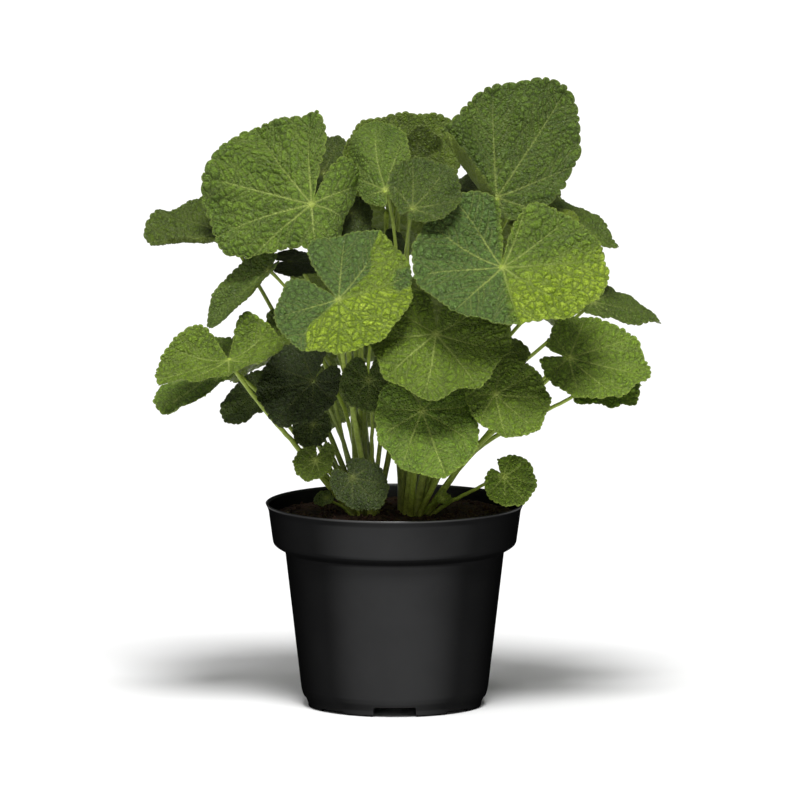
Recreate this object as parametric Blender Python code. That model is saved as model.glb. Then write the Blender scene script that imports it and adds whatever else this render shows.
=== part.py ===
"""Potted hollyhock: a young leafy clump growing from two crowns in a plastic
nursery pot with a deep collar.

Units are metres in Blender; the dimensions below are in millimetres and go
through MM. +Z is up, +X runs to the right of the front view, and the front
faces -Y. The origin is the centre of the pot's footprint, on the ground.
"""

import math

import bmesh
import bpy
import numpy as np

MM = 0.001
GAP = 0.3  # clearance between touching pieces

# ---------------------------------------------------------------- pot
POT_HEIGHT = 150.0
POT_RIM_R = 95.0
POT_WALL = 1.6
POT_SEGMENTS = 40
COLLAR_TOP_R = 92.8
COLLAR_FOOT_R = 89.7
COLLAR_FOOT_Z = 121.0
BODY_TOP_R = 80.4
BODY_TOP_Z = 113.0
BODY_FOOT_R = 68.8
LEDGE_Z = 13.0
FOOT_R = 65.8
FLOOR_Z = 9.5  # underside of the raised floor
PAD_R = 24.0  # centre pad of the floor, which reaches the ground
NOTCH_HEIGHT = 7.3
NOTCH_WIDTH = 31.0
LOW_NOTCH_HEIGHT = 2.4
LOW_NOTCH_WIDTH = 24.0
DRAIN_R = 4.5
DRAIN_RING_R = 47.0

# ---------------------------------------------------------------- soil
SOIL_EDGE_Z = 140.5
SOIL_MOUND = 2.0
SOIL_RINGS = (0.0, 0.3, 0.62, 0.86, 1.0)

# ---------------------------------------------------------------- plant
# The stalks of each crown fan out like rays from a point below the soil.
CROWNS = {"left": (-19.0, -4.0), "right": (11.0, -4.0)}
CROWN_DEPTH = 11.0
STALK_CLEARANCE = 0.5
BLADE_THICKNESS = 1.0
STALK_SIDES = 6
STALK_STATIONS = 6
REACH_ANGLES = (-150.0, -100.0, -50.0, 0.0, 50.0, 100.0, 150.0)
VEIN_ANGLES = (0.0, 38.0, 78.0, 122.0)

# One row per leaf. hub: where the stalk meets the blade. az, el: where the
# upper face looks (az 0 = front, 90 = right, 180 = back). turn: heading of the
# midrib, counted from straight down the slope, anticlockwise as seen on the
# upper face. reach: margin distance from the hub at REACH_ANGLES from the
# midrib. sinus: half opening of the notch. cup: rise of the margin. bends:
# (direction, offset, angle, width) of each fold, direction from the midrib.
# The last entry of some rows holds extras: bow shifts the stalk's lower handle,
# and skew leans the notch to one side, in degrees.
LEAVES = [
    # name, crown, hub, az, el, turn, reach, sinus, cup, bends
    ("leaf_top_left_large", "left", (-61, -24, 374.5), -25, 30, -15, (78, 93, 79, 38, 42, 33, 47), 4, -0.04, [(100, 3, -95, 30)], {"bow": (10, -20, 0), "skew": 10}),
    ("leaf_far_left", "left", (-124, 30, 346), -25, 64, -72, (50, 56, 54, 60, 22, 16, 24), 12, 0.05, [(90, 9, 70, 5)], {"bow": (0, 48, 0)}),
    ("leaf_top_centre", "left", (-7, -16, 384), -30, 28, -145, (14, 18, 36, 66, 30, 14, 12), 10, -0.10, []),
    ("leaf_back_top", "left", (6, 35, 392), 10, 35, 178, (20, 38, 52, 42, 46, 44, 32), 10, 0.15, []),
    ("leaf_top_small", "right", (13, -62, 377), 5, 42, 138, (9, 16, 33, 42, 38, 17, 9), 10, 0.10, []),
    ("leaf_top_right_large", "right", (75, -20, 379), 12, 22, 145, (16, 24, 49, 94, 71, 54, 26), 14, 0.06, [(161, 2, 95, 10)]),
    ("leaf_right_large", "right", (79, -76, 335), 3, 52, 4, (68, 67, 59, 57, 74, 75, 63), 4, 0.0, [(180, 4, 22, 20)], {"skew": -14}),
    ("leaf_left_large", "left", (-41, -80, 312), -5, 42, 46, (43, 51, 49, 48, 54, 62, 57), 7, 0.0, [], {"bow": (0, 14, 0)}),
    ("leaf_centre_large", "right", (30, -75, 286), 0, 42, -4, (40, 48, 52, 60, 56, 54, 40), 6, 0.05, []),
    ("leaf_centre_low", "right", (20, -82, 230), -10, 38, 24, (36, 36, 43, 62, 44, 37, 32), 8, 0.05, [(90, 2, -14, 12), (-90, 2, -14, 12)]),
    ("leaf_right_low", "right", (74, -78, 242), 20, 40, 35, (24, 27, 38, 41, 40, 35, 28), 8, 0.05, []),
    ("leaf_far_right", "right", (128, -45, 264), 15, 50, 72, (24, 34, 44, 60, 50, 41, 20), 12, 0.0, []),
    ("leaf_far_right_under", "right", (145, -25, 244), 25, 62, 0, (20, 26, 32, 35, 37, 34, 24), 12, 0.0, [], {"bow": (-6, 0, 26)}),
    ("leaf_rim_right", "right", (80, -45, 176), 12, 30, 36, (12, 17, 22, 25, 25, 21, 15), 14, -0.10, []),
    ("leaf_front_foot", "left", (-31, -72, 179), -5, 20, 43, (16, 18, 22, 29, 25, 17, 14), 12, -0.10, []),
    ("leaf_left_shaded", "left", (-60, -40, 246), -15, 30, -32, (31, 36, 41, 42, 31, 23, 22), 10, 0.05, []),
    ("leaf_centre_shaded", "left", (-19, -54, 249), -5, 30, 3, (20, 20, 24, 27, 26, 26, 24), 10, 0.05, []),
    ("leaf_left_small", "left", (-58, -40, 187), -20, 35, -5, (12, 15, 17, 19, 16, 15, 16), 9, 0.10, []),
    ("leaf_left_wide", "left", (-122, -50, 263), -60, 74, 60, (48, 54, 50, 38, 38, 42, 46), 11, 0.0, [(180, 2, 58, 24)], {"bow": (-14, 0, -10)}),
    ("leaf_left_under", "left", (-124, -8, 254), -60, 50, -14, (28, 38, 50, 58, 32, 22, 20), 10, 0.05, []),
    ("leaf_left_folded", "left", (-93, -20, 326), -60, 40, -21, (12, 18, 30, 60, 18, 11, 10), 12, 0.0, [(90, 1, 38, 14), (-90, 1, 38, 14)]),
    ("leaf_left_inner", "left", (-77, 15, 327), 0, 72, 90, (18, 21, 23, 29, 24, 21, 18), 12, -0.10, [], {"bow": (12, 30, 0)}),
    ("leaf_left_tucked", "left", (-75, -1, 280), -30, 45, -111, (15, 17, 21, 25, 20, 17, 14), 12, 0.0, []),
    ("leaf_left_shaded_low", "left", (-99, 14, 232), -40, 35, -38, (16, 18, 25, 36, 24, 19, 16), 12, 0.0, []),
    ("leaf_centre_back_small", "right", (81, -35, 267), 20, 40, 81, (10, 12, 15, 19, 15, 12, 10), 14, 0.0, []),
    ("leaf_top_tucked", "right", (60, 8, 380), -30, 60, -102, (14, 18, 22, 25, 18, 14, 12), 14, 0.0, []),
    ("leaf_left_shaded_small", "left", (-60, -13, 210), -20, 30, 2, (13, 15, 17, 21, 17, 14, 12), 14, 0.0, []),
    ("leaf_top_shaded", "left", (-32, 5, 365), -10, 35, 13, (13, 16, 22, 27, 19, 14, 13), 12, 0.0, []),
    ("leaf_back_left_top", "left", (-53, 34, 390), -20, 40, -156, (26, 28, 30, 33, 30, 27, 24), 12, 0.0, []),
    ("leaf_right_back", "right", (110, 24, 366), 50, 65, 29, (20, 24, 33, 60, 34, 28, 22), 12, -0.05, []),
    ("leaf_far_right_back", "right", (146, 14, 297), 45, 60, 63, (18, 20, 24, 56, 34, 26, 20), 12, -0.05, []),
    ("leaf_top_cupped", "right", (13, 11, 394), 8, 18, 170, (12, 18, 26, 32, 14, 12, 12), 12, 0.25, []),
    ("leaf_inner_shaded", "right", (-9, 19, 340), 0, 35, 0, (13, 16, 20, 25, 21, 16, 13), 12, 0.0, []),
    ("leaf_soil_left", "left", (-50, -25, 157), -30, 50, -40, (7, 8, 9, 10, 9, 8, 7), 16, 0.10, []),
    ("leaf_shoot_right", "right", (34, -22, 156), 20, 40, 40, (5, 6, 7, 9, 7, 6, 5), 18, 0.45, []),
    ("leaf_right_olive", "right", (95, -13, 362), 15, 55, 87, (13, 15, 24, 40, 24, 16, 13), 10, 0.0, []),
    ("leaf_back_01", "left", (-39, 76, 309), -160, 42, 10, (33, 38, 41, 47, 41, 37, 33), 10, 0.0, []),
    ("leaf_back_02", "right", (-6, 94, 352), 178, 40, -10, (38, 46, 50, 54, 50, 44, 36), 10, 0.0, []),
    ("leaf_back_03", "right", (74, 78, 335), 150, 38, 5, (36, 44, 48, 52, 48, 44, 36), 10, 0.0, []),
    ("leaf_back_04", "left", (-92, 60, 262), -125, 42, 0, (30, 36, 42, 46, 42, 36, 30), 10, 0.0, []),
    ("leaf_back_05", "left", (-32, 105, 272), -168, 38, -8, (36, 44, 50, 54, 50, 44, 36), 10, 0.0, []),
    ("leaf_back_06", "right", (40, 112, 278), 168, 38, 12, (38, 46, 50, 54, 50, 46, 38), 10, 0.0, []),
    ("leaf_back_07", "right", (110, 60, 290), 120, 42, 0, (28, 34, 38, 42, 38, 34, 28), 10, 0.0, []),
    ("leaf_back_08", "left", (-45, 88, 222), -150, 32, 6, (28, 34, 38, 42, 38, 34, 28), 10, 0.0, []),
    ("leaf_back_09", "right", (5, 112, 215), 178, 32, 0, (30, 36, 40, 44, 40, 36, 30), 10, 0.0, []),
    ("leaf_back_10", "right", (76, 90, 218), 140, 34, 0, (28, 34, 38, 42, 38, 34, 28), 10, 0.0, []),
    ("leaf_back_11", "left", (2, 56, 393), 178, 54, 15, (17, 22, 25, 25, 25, 22, 17), 9, 0.05, [], {"bow": (4, 44, 0)}),
    ("leaf_back_12", "right", (128, 36, 250), 100, 42, -8, (18, 24, 29, 34, 29, 24, 18), 9, 0.0, []),
    ("leaf_back_14", "left", (-92, 79, 355), -150, 50, 5, (21, 25, 29, 32, 29, 25, 21), 9, 0.0, []),
    ("leaf_back_13", "right", (98, 61, 378), 140, 50, -10, (20, 23, 26, 28, 26, 23, 20), 9, 0.0, []),
]


def rad(degrees):
    return math.radians(degrees)


def unit(v):
    v = np.asarray(v, float)
    return v / np.linalg.norm(v)


# ---------------------------------------------------------------- leaf shape
def leaf_axes(az, el, turn):
    """Midrib direction, left-hand side direction and upper normal."""
    a, e, t = rad(az), rad(el), rad(turn)
    normal = np.array([math.cos(e) * math.sin(a), -math.cos(e) * math.cos(a), math.sin(e)])
    down = np.array([math.sin(e) * math.sin(a), -math.sin(e) * math.cos(a), -math.cos(e)])
    across = np.cross(normal, down)
    midrib = math.cos(t) * down + math.sin(t) * across
    return midrib, np.cross(normal, midrib), normal


def smooth_reach(reach, angle):
    """Margin distance at an angle, eased between the REACH_ANGLES."""
    a = np.abs(angle)
    known = np.array(REACH_ANGLES)
    span = np.clip(angle, known[0], known[-1])
    i = np.clip(np.searchsorted(known, span) - 1, 0, len(known) - 2)
    f = (span - known[i]) / (known[i + 1] - known[i])
    values = np.array(reach, float)
    slopes = np.gradient(values)
    slopes[0] = slopes[-1] = 0.0
    v0, v1, s0, s1 = values[i], values[i + 1], slopes[i], slopes[i + 1]
    f2, f3 = f * f, f * f * f
    base = v0 * (2 * f3 - 3 * f2 + 1) + s0 * (f3 - 2 * f2 + f) + v1 * (3 * f2 - 2 * f3) + s1 * (f3 - f2)
    lobes = np.cos(rad(1.0) * angle * 360.0 / 39.0) * np.clip((110.0 - a) / 40.0, 0.0, 1.0)
    return base * (1.0 + 0.025 * lobes)


def leaf_outline(leaf, count):
    """Margin points in the blade's own plane, evenly spaced, from the notch round to it."""
    reach, sinus = leaf[6], leaf[7]
    half = 180.0 - sinus
    angle = half * np.sin(np.linspace(-math.pi / 2, math.pi / 2, 1601))
    r = smooth_reach(reach, angle)
    r *= np.sqrt(np.clip(1.0 - (np.abs(angle) / half) ** 28, 0.0, 1.0))
    notch = max(3.2, 0.07 * min(reach))
    skew = leaf[10].get("skew", 0.0) if len(leaf) > 10 else 0.0
    angle = angle + skew * (angle / 180.0) ** 4
    u = r * np.cos(np.radians(angle))
    v = r * np.sin(np.radians(angle))
    u = u - notch * np.exp(-((r / (0.35 * max(reach))) ** 2))
    step = np.hypot(np.diff(u), np.diff(v))
    s = np.concatenate([[0.0], np.cumsum(step)])
    at = np.linspace(0.0, s[-1], count, endpoint=False)
    return np.stack([np.interp(at, s, u), np.interp(at, s, v)], axis=1)


def bend(points, direction, offset, angle, width):
    """Folds the part of the blade beyond a line across `direction` round a cylinder."""
    d = rad(direction)
    m = np.array([math.cos(d), math.sin(d)])
    along = np.array([-math.sin(d), math.cos(d)])
    s = points[:, 0] * m[0] + points[:, 1] * m[1] - offset
    t = points[:, 0] * along[0] + points[:, 1] * along[1]
    w = points[:, 2]
    a = rad(angle)
    theta = a * np.clip(s / width, 0.0, 1.0)
    radius = width / a
    arc_s = np.where(s > 0, radius * np.sin(theta), s)
    arc_w = np.where(s > 0, radius * (1.0 - np.cos(theta)), 0.0)
    over = np.clip(s - width, 0.0, None)
    arc_s = arc_s + over * math.cos(a) - w * np.sin(theta)
    arc_w = arc_w + over * math.sin(a) + w * np.cos(theta)
    out = np.empty_like(points)
    out[:, 0] = m[0] * (arc_s + offset) + along[0] * t
    out[:, 1] = m[1] * (arc_s + offset) + along[1] * t
    out[:, 2] = arc_w
    return out


def blade_points(leaf, flat, lift):
    """World positions of flat blade points, `lift` above the middle surface."""
    hub, az, el, turn, reach, cup, bends = leaf[2], leaf[3], leaf[4], leaf[5], leaf[6], leaf[8], leaf[9]
    size = float(np.mean(reach))
    r = np.hypot(flat[:, 0], flat[:, 1]) / size
    phi = np.arctan2(flat[:, 1], flat[:, 0])
    w = cup * size * r * r + 0.030 * size * np.clip(r, 0, 1.4) ** 3 * np.cos(5.0 * phi + hub[0])
    points = np.stack([flat[:, 0], flat[:, 1], w + lift], axis=1)
    for direction, offset, angle, width in bends:
        points = bend(points, direction, offset, angle, width)
    midrib, side, normal = leaf_axes(az, el, turn)
    return np.array(hub, float) + points[:, :1] * midrib + points[:, 1:2] * side + points[:, 2:3] * normal


def stalk_radius(leaf):
    size = float(np.mean(leaf[6]))
    return 1.0 + 0.034 * size, 0.85 + 0.014 * size


def soil_height(x, y):
    r = min(1.0, math.hypot(x, y) / 88.0)
    return SOIL_EDGE_Z + SOIL_MOUND * (1.0 - r * r)


def stalk_bases():
    """Foot of every stalk: on its ray from below the crown, then moved apart until none touch."""
    feet = []
    for leaf in LEAVES:
        crown, hub = np.array(CROWNS[leaf[1]]), np.array(leaf[2], float)
        share = CROWN_DEPTH / (CROWN_DEPTH + hub[2] - SOIL_EDGE_Z)
        feet.append(crown + (hub[:2] - crown) * share)
    feet = np.array(feet)
    radii = np.array([stalk_radius(leaf)[0] for leaf in LEAVES])
    for _ in range(400):
        moved = False
        for i in range(len(feet)):
            for j in range(i + 1, len(feet)):
                between = feet[j] - feet[i]
                apart = float(np.hypot(*between))
                short = radii[i] + radii[j] + STALK_CLEARANCE - apart
                if short > 0:
                    push = between / max(apart, 1e-6) * short * 0.5
                    feet[i] -= push
                    feet[j] += push
                    moved = True
        if not moved:
            break
    return {leaf[0]: foot for leaf, foot in zip(LEAVES, feet)}


def first_controls():
    """Control points of every stalk before they are moved apart: foot, two handles and hub."""
    controls = []
    for leaf in LEAVES:
        hub = np.array(leaf[2], float)
        extra = leaf[10] if len(leaf) > 10 else {}
        bx, by = BASES[leaf[0]]
        base = np.array([bx, by, soil_height(bx, by) + GAP])
        midrib, _, normal = leaf_axes(leaf[3], leaf[4], leaf[5])
        length = float(np.linalg.norm(hub - base))
        out = unit((hub - base) * np.array([0.72, 0.72, 1.0]))
        lean = unit(-normal * 0.85 - midrib * 0.35)
        hold = unit(0.55 * lean + 0.45 * unit(base - hub))
        p1 = base + out * 0.38 * length + np.array(extra.get("bow", (0, 0, 0)), float)
        p2 = hub + hold * 0.30 * length
        controls.append(np.array([base, p1, p2, hub]))
    return np.array(controls)


def curve_weights(count):
    t = np.linspace(0.0, 1.0, count)[:, None]
    return np.concatenate([(1 - t) ** 3, 3 * (1 - t) ** 2 * t, 3 * (1 - t) * t * t, t ** 3], axis=1)


def nearest_on_segments(p, dp, q, dq):
    """Shares s and t along two sets of segments where they come closest."""
    r = p - q
    a, e, f = (dp * dp).sum(-1), (dq * dq).sum(-1), (dq * r).sum(-1)
    c, b = (dp * r).sum(-1), (dp * dq).sum(-1)
    s = np.clip((b * f - c * e) / np.maximum(a * e - b * b, 1e-6), 0.0, 1.0)
    t = np.clip((b * s + f) / e, 0.0, 1.0)
    s = np.clip((b * t - c) / a, 0.0, 1.0)
    t = np.clip((b * s + f) / e, 0.0, 1.0)
    return s, t


def settled_controls():
    """The stalks of a crown part round each other: handles are moved until none touch."""
    controls = first_controls()
    weights = curve_weights(STALK_STATIONS + 1)
    share = np.linspace(1.0, 0.0, STALK_STATIONS + 1) ** 1.6
    radii = []
    for leaf in LEAVES:
        base_r, top_r = stalk_radius(leaf)
        radii.append(top_r + (base_r - top_r) * share)
    radii = np.array(radii)
    n = len(LEAVES)
    first, second = np.triu_indices(n, 1)
    k, m = [g.ravel() for g in np.meshgrid(range(STALK_STATIONS), range(STALK_STATIONS), indexing="ij")]
    for _ in range(400):
        paths = np.einsum("tc,ncx->ntx", weights, controls)
        p, q = paths[first][:, k], paths[second][:, m]
        dp, dq = paths[first][:, k + 1] - p, paths[second][:, m + 1] - q
        s, t = nearest_on_segments(p, dp, q, dq)
        between = (q + dq * t[..., None]) - (p + dp * s[..., None])
        apart = np.linalg.norm(between, axis=-1)
        rp = radii[first][:, k] * (1 - s) + radii[first][:, k + 1] * s
        rq = radii[second][:, m] * (1 - t) + radii[second][:, m + 1] * t
        short = rp + rq + STALK_CLEARANCE * 0.8 - apart
        worst = short.argmax(axis=1)
        pairs = np.nonzero(short[np.arange(len(first)), worst] > 0.0)[0]
        if not len(pairs):
            break
        move = np.zeros_like(controls)
        for pair in pairs:
            w = worst[pair]
            i, j = first[pair], second[pair]
            push = between[pair, w] / max(float(apart[pair, w]), 1e-6) * (float(short[pair, w]) + 0.05) * 0.5
            for stalk, station, part, sign in ((i, k[w], s[pair, w], -1.0), (j, m[w], t[pair, w], 1.0)):
                g = weights[station] * (1 - part) + weights[station + 1] * part
                scale = g[1] * g[1] + g[2] * g[2] + 0.02
                move[stalk, 1] += sign * push * g[1] / scale
                move[stalk, 2] += sign * push * g[2] / scale
        controls += move
    return {leaf[0]: c for leaf, c in zip(LEAVES, controls)}


def stalk_path(leaf, count):
    """Points from the soil up to the hub on one smooth curve, with the base first."""
    return curve_weights(count) @ CONTROLS[leaf[0]]


BASES = stalk_bases()
CONTROLS = settled_controls()


def leaf_mesh(leaf, around, rings, stations):
    """One closed body: the blade, and its stalk grown out of the underside."""
    size = float(np.mean(leaf[6]))
    base_r, top_r = stalk_radius(leaf)
    rim = leaf_outline(leaf, around)
    ring_angle = math.pi + 2 * math.pi * np.arange(around) / around
    start = np.stack([np.cos(ring_angle), np.sin(ring_angle)], axis=1) * top_r
    points, faces = [], []

    def add(new):
        first = sum(len(p) for p in points)
        points.append(np.asarray(new, float))
        return first

    half = BLADE_THICKNESS / 2
    levels = [start + (rim - start) * t for t in rings]
    top = [add(blade_points(leaf, level, half if j < len(levels) - 1 else 0.6 * half)) for j, level in enumerate(levels)]
    centre = add(blade_points(leaf, np.zeros((1, 2)), half))
    under = [add(blade_points(leaf, level, -half if j < len(levels) - 1 else -0.6 * half)) for j, level in enumerate(levels)]
    for k in range(around):
        n = (k + 1) % around
        faces.append((centre, top[0] + k, top[0] + n))
        for a, b in zip(top, top[1:]):
            faces.append((a + k, b + k, b + n))
            faces.append((a + k, b + n, a + n))
        for a, b in zip(under, under[1:]):
            faces.append((a + k, b + n, b + k))
            faces.append((a + k, a + n, b + n))
        faces.append((top[-1] + k, under[-1] + k, under[-1] + n))
        faces.append((top[-1] + k, under[-1] + n, top[-1] + n))
    # stalk: its first ring lies in the underside, round the hub
    every = around // STALK_SIDES
    collar = start[::every]
    first = add(blade_points(leaf, collar, -half - 0.05))
    for s in range(STALK_SIDES):
        n = (s + 1) % STALK_SIDES
        for k in range(every):
            a = under[0] + s * every + k
            b = under[0] + (s * every + k + 1) % around
            faces.append((first + s, b, a))
        faces.append((first + s, first + n, under[0] + (n * every) % around))
    path = stalk_path(leaf, stations + 1)[::-1]
    _, side, normal = leaf_axes(leaf[3], leaf[4], leaf[5])
    ring = points[-1] - points[-1].mean(axis=0)
    previous, tangent = first, -normal
    for i in range(1, stations + 1):
        ahead = path[min(i + 1, stations)] - path[i - 1]
        new_tangent = unit(ahead) if i < stations else np.array([0.0, 0.0, -1.0])
        axis = np.cross(tangent, new_tangent)
        sine, cosine = float(np.linalg.norm(axis)), float(np.dot(tangent, new_tangent))
        if sine > 1e-9:
            axis = axis / sine
            ring = ring * cosine + np.cross(axis, ring) * sine + np.outer(ring @ axis, axis) * (1 - cosine)
        tangent = new_tangent
        share = i / stations
        wanted = top_r + (base_r - top_r) * share ** 1.6
        shape = ring / np.linalg.norm(ring, axis=1, keepdims=True) * wanted
        new = add(path[i] + shape)
        for s in range(STALK_SIDES):
            n = (s + 1) % STALK_SIDES
            faces.append((previous + s, new + s, new + n))
            faces.append((previous + s, new + n, previous + n))
        previous = new
    foot = add(path[-1:])
    for s in range(STALK_SIDES):
        faces.append((previous + s, foot, previous + (s + 1) % STALK_SIDES))
    return np.concatenate(points), faces


# ---------------------------------------------------------------- building
def make_material(name, colour, roughness):
    material = bpy.data.materials.new(name)
    material.use_nodes = True
    shader = material.node_tree.nodes["Principled BSDF"]
    shader.inputs["Base Color"].default_value = (*colour, 1.0)
    shader.inputs["Roughness"].default_value = roughness
    shader.inputs["Metallic"].default_value = 0.0
    return material


def make_object(name, points, faces, material, parent):
    mesh = bpy.data.meshes.new(name)
    mesh.from_pydata([tuple(p) for p in np.asarray(points) * MM], [], [tuple(int(i) for i in f) for f in faces])
    work = bmesh.new()
    work.from_mesh(mesh)
    bmesh.ops.recalc_face_normals(work, faces=work.faces)
    work.to_mesh(mesh)
    work.free()
    mesh.materials.append(material)
    mesh.shade_smooth()
    mesh.set_sharp_from_angle(angle=rad(50))
    obj = bpy.data.objects.new(name, mesh)
    bpy.context.scene.collection.objects.link(obj)
    obj.parent = parent
    return obj


def turned(profile, segments):
    """Closed body of revolution; the profile starts and ends on the axis."""
    points, faces = [], []
    first = []
    for r, z in profile:
        first.append(len(points))
        if r < 1e-6:
            points.append((0.0, 0.0, z))
        else:
            for k in range(segments):
                a = 2 * math.pi * k / segments
                points.append((r * math.sin(a), -r * math.cos(a), z))
    for (a, (ra, _)), (b, (rb, _)) in zip(zip(first, profile), zip(first[1:], profile[1:])):
        for k in range(segments):
            n = (k + 1) % segments
            if ra < 1e-6:
                faces.append((a, b + k, b + n))
            elif rb < 1e-6:
                faces.append((a + k, b, a + n))
            else:
                faces.append((a + k, b + k, b + n, a + n))
    return points, faces


def pot_profile():
    """(radius, height) from the underside centre out, up the wall, over the lip and down inside."""
    w = POT_WALL
    outside = [
        (0.0, 0.0), (PAD_R, 0.0), (PAD_R + 1.5, FLOOR_Z - 2.5), (FOOT_R - 5.0, FLOOR_Z - 2.5),
        (FOOT_R - 3.2, 1.2), (FOOT_R - 2.8, 0.0), (FOOT_R - 1.8, 0.0), (FOOT_R - 0.6, 1.0), (FOOT_R, 4.5),
        (BODY_FOOT_R - 0.9, LEDGE_Z - 3.5), (BODY_FOOT_R, LEDGE_Z),
        (BODY_TOP_R, BODY_TOP_Z), (BODY_TOP_R + 0.8, BODY_TOP_Z + 1.8),
        (COLLAR_FOOT_R - 2.8, COLLAR_FOOT_Z - 3.0), (COLLAR_FOOT_R - 0.7, COLLAR_FOOT_Z - 1.2), (COLLAR_FOOT_R, COLLAR_FOOT_Z + 1.0),
        (COLLAR_TOP_R, POT_HEIGHT - 5.2), (POT_RIM_R - 0.8, POT_HEIGHT - 2.0), (POT_RIM_R, POT_HEIGHT - 0.5), (POT_RIM_R - 0.5, POT_HEIGHT),
    ]
    inside = [
        (POT_RIM_R - 1.6, POT_HEIGHT - 0.2), (COLLAR_TOP_R - w, POT_HEIGHT - 5.0),
        (COLLAR_FOOT_R - w, COLLAR_FOOT_Z + 1.0), (BODY_TOP_R - w + 0.4, BODY_TOP_Z + 2.0), (BODY_TOP_R - w, BODY_TOP_Z),
        (BODY_FOOT_R - w - 0.4, LEDGE_Z), (BODY_FOOT_R - w - 3.0, FLOOR_Z + 0.4), (PAD_R + 3.0, FLOOR_Z), (PAD_R, 2.0), (0.0, 2.0),
    ]
    return outside + inside


def cut(target, cutters):
    for cutter in cutters:
        cutter.hide_render = True
        cutter.display_type = "WIRE"
        modifier = target.modifiers.new(cutter.name, "BOOLEAN")
        modifier.operation = "DIFFERENCE"
        modifier.solver = "EXACT"
        modifier.object = cutter


def make_cutter(name, points, faces, parent):
    mesh = bpy.data.meshes.new(name)
    mesh.from_pydata([tuple(c * MM for c in p) for p in points], [], faces)
    work = bmesh.new()
    work.from_mesh(mesh)
    bmesh.ops.recalc_face_normals(work, faces=work.faces)
    work.to_mesh(mesh)
    work.free()
    obj = bpy.data.objects.new(name, mesh)
    bpy.context.scene.collection.objects.link(obj)
    obj.parent = parent
    return obj


def notch_cutter(name, angle, width, height, reach_in, parent):
    """A wedge-sided slot through the foot ring, wider at the ground."""
    a = rad(angle)
    out = np.array([math.sin(a), -math.cos(a)])
    side = np.array([math.cos(a), math.sin(a)])
    r0, r1 = FOOT_R - reach_in, FOOT_R + 6.0
    points = []
    for r in (r0, r1):
        for half, z in ((width / 2 + 0.6, -3.0), (width / 2, height - 0.8), (width / 2 - 0.8, height), (-width / 2 + 0.8, height), (-width / 2, height - 0.8), (-width / 2 - 0.6, -3.0)):
            xy = out * r + side * half
            points.append((xy[0], xy[1], z))
    faces = [(0, 1, 2, 3, 4, 5), (11, 10, 9, 8, 7, 6)]
    for i in range(6):
        n = (i + 1) % 6
        faces.append((i, i + 6, n + 6, n))
    return make_cutter(name, points, faces, parent)


def drain_cutter(name, angle, parent):
    a = rad(angle)
    cx, cy = DRAIN_RING_R * math.sin(a), -DRAIN_RING_R * math.cos(a)
    points, sides = [], 12
    for z in (-2.0, FLOOR_Z + 4.0):
        for k in range(sides):
            b = 2 * math.pi * k / sides
            points.append((cx + DRAIN_R * math.cos(b), cy + DRAIN_R * math.sin(b), z))
    faces = [tuple(range(sides)), tuple(range(2 * sides - 1, sides - 1, -1))]
    for k in range(sides):
        n = (k + 1) % sides
        faces.append((k, k + sides, n + sides, n))
    return make_cutter(name, points, faces, parent)


def inner_radius(z):
    """Inside of the pot wall at height z, from the inner half of the profile."""
    wall = sorted((zz, r) for r, zz in pot_profile()[20:28])
    return float(np.interp(z, [p[0] for p in wall], [p[1] for p in wall]))


def soil_profile():
    """The root ball and compost fill the pot from its floor to just under the lip."""
    below = [FLOOR_Z + 1.0 + GAP, LEDGE_Z + 2.0, 60.0, BODY_TOP_Z, BODY_TOP_Z + 2.0, COLLAR_FOOT_Z + 1.0]
    outline = [(0.0, FLOOR_Z + 1.0 + GAP)]
    for z in below:
        outline.append((inner_radius(z) - GAP - (5.0 if z < LEDGE_Z else 0.6), z))
    edge = inner_radius(SOIL_EDGE_Z) - GAP - 0.4
    for share in reversed(SOIL_RINGS):
        r = edge * share
        outline.append((r, SOIL_EDGE_Z + SOIL_MOUND * max(0.0, 1.0 - min(1.0, r / 88.0) ** 2)))
    return outline


def main():
    for obj in list(bpy.data.objects):
        bpy.data.objects.remove(obj, do_unlink=True)
    root = bpy.data.objects.new("potted_hollyhock", None)
    bpy.context.scene.collection.objects.link(root)

    plastic = make_material("pot_plastic", (0.025, 0.026, 0.027), 0.42)
    compost = make_material("compost", (0.035, 0.016, 0.010), 0.95)
    leaf_green = make_material("leaf_green", (0.13, 0.23, 0.04), 0.5)

    pot = make_object("pot", *turned(pot_profile(), POT_SEGMENTS), plastic, root)
    cutters = []
    for i in range(4):
        cutters.append(notch_cutter(f"notch_high_{i}", 90.0 * i, NOTCH_WIDTH, NOTCH_HEIGHT, 9.0, root))
        cutters.append(notch_cutter(f"notch_low_{i}", 45.0 + 90.0 * i, LOW_NOTCH_WIDTH, LOW_NOTCH_HEIGHT, 9.0, root))
    for i in range(8):
        cutters.append(drain_cutter(f"drain_{i}", 22.5 + 45.0 * i, root))
    cut(pot, cutters)

    make_object("soil", *turned(soil_profile(), 40), compost, root)

    for leaf in LEAVES:
        large = float(np.mean(leaf[6])) > 31.0
        around = 18 if large else 12
        rings = (0.25, 0.62, 1.0) if large else (0.38, 1.0)
        points, faces = leaf_mesh(leaf, around, rings, STALK_STATIONS)
        make_object(leaf[0], points, faces, leaf_green, root)


main()
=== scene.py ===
"""Potted hollyhock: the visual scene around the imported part.

Units are metres in Blender; the dimensions below are in millimetres and go
through MM. +Z is up, +X runs to the right of the front view, and the front
faces -Y. Every leaf is built from the same table row as its solid, with a
toothed margin, a vein network and a quilted surface.
"""

import math

import bmesh
import bpy
import numpy as np
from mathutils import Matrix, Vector
from mathutils.geometry import delaunay_2d_cdt


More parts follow.
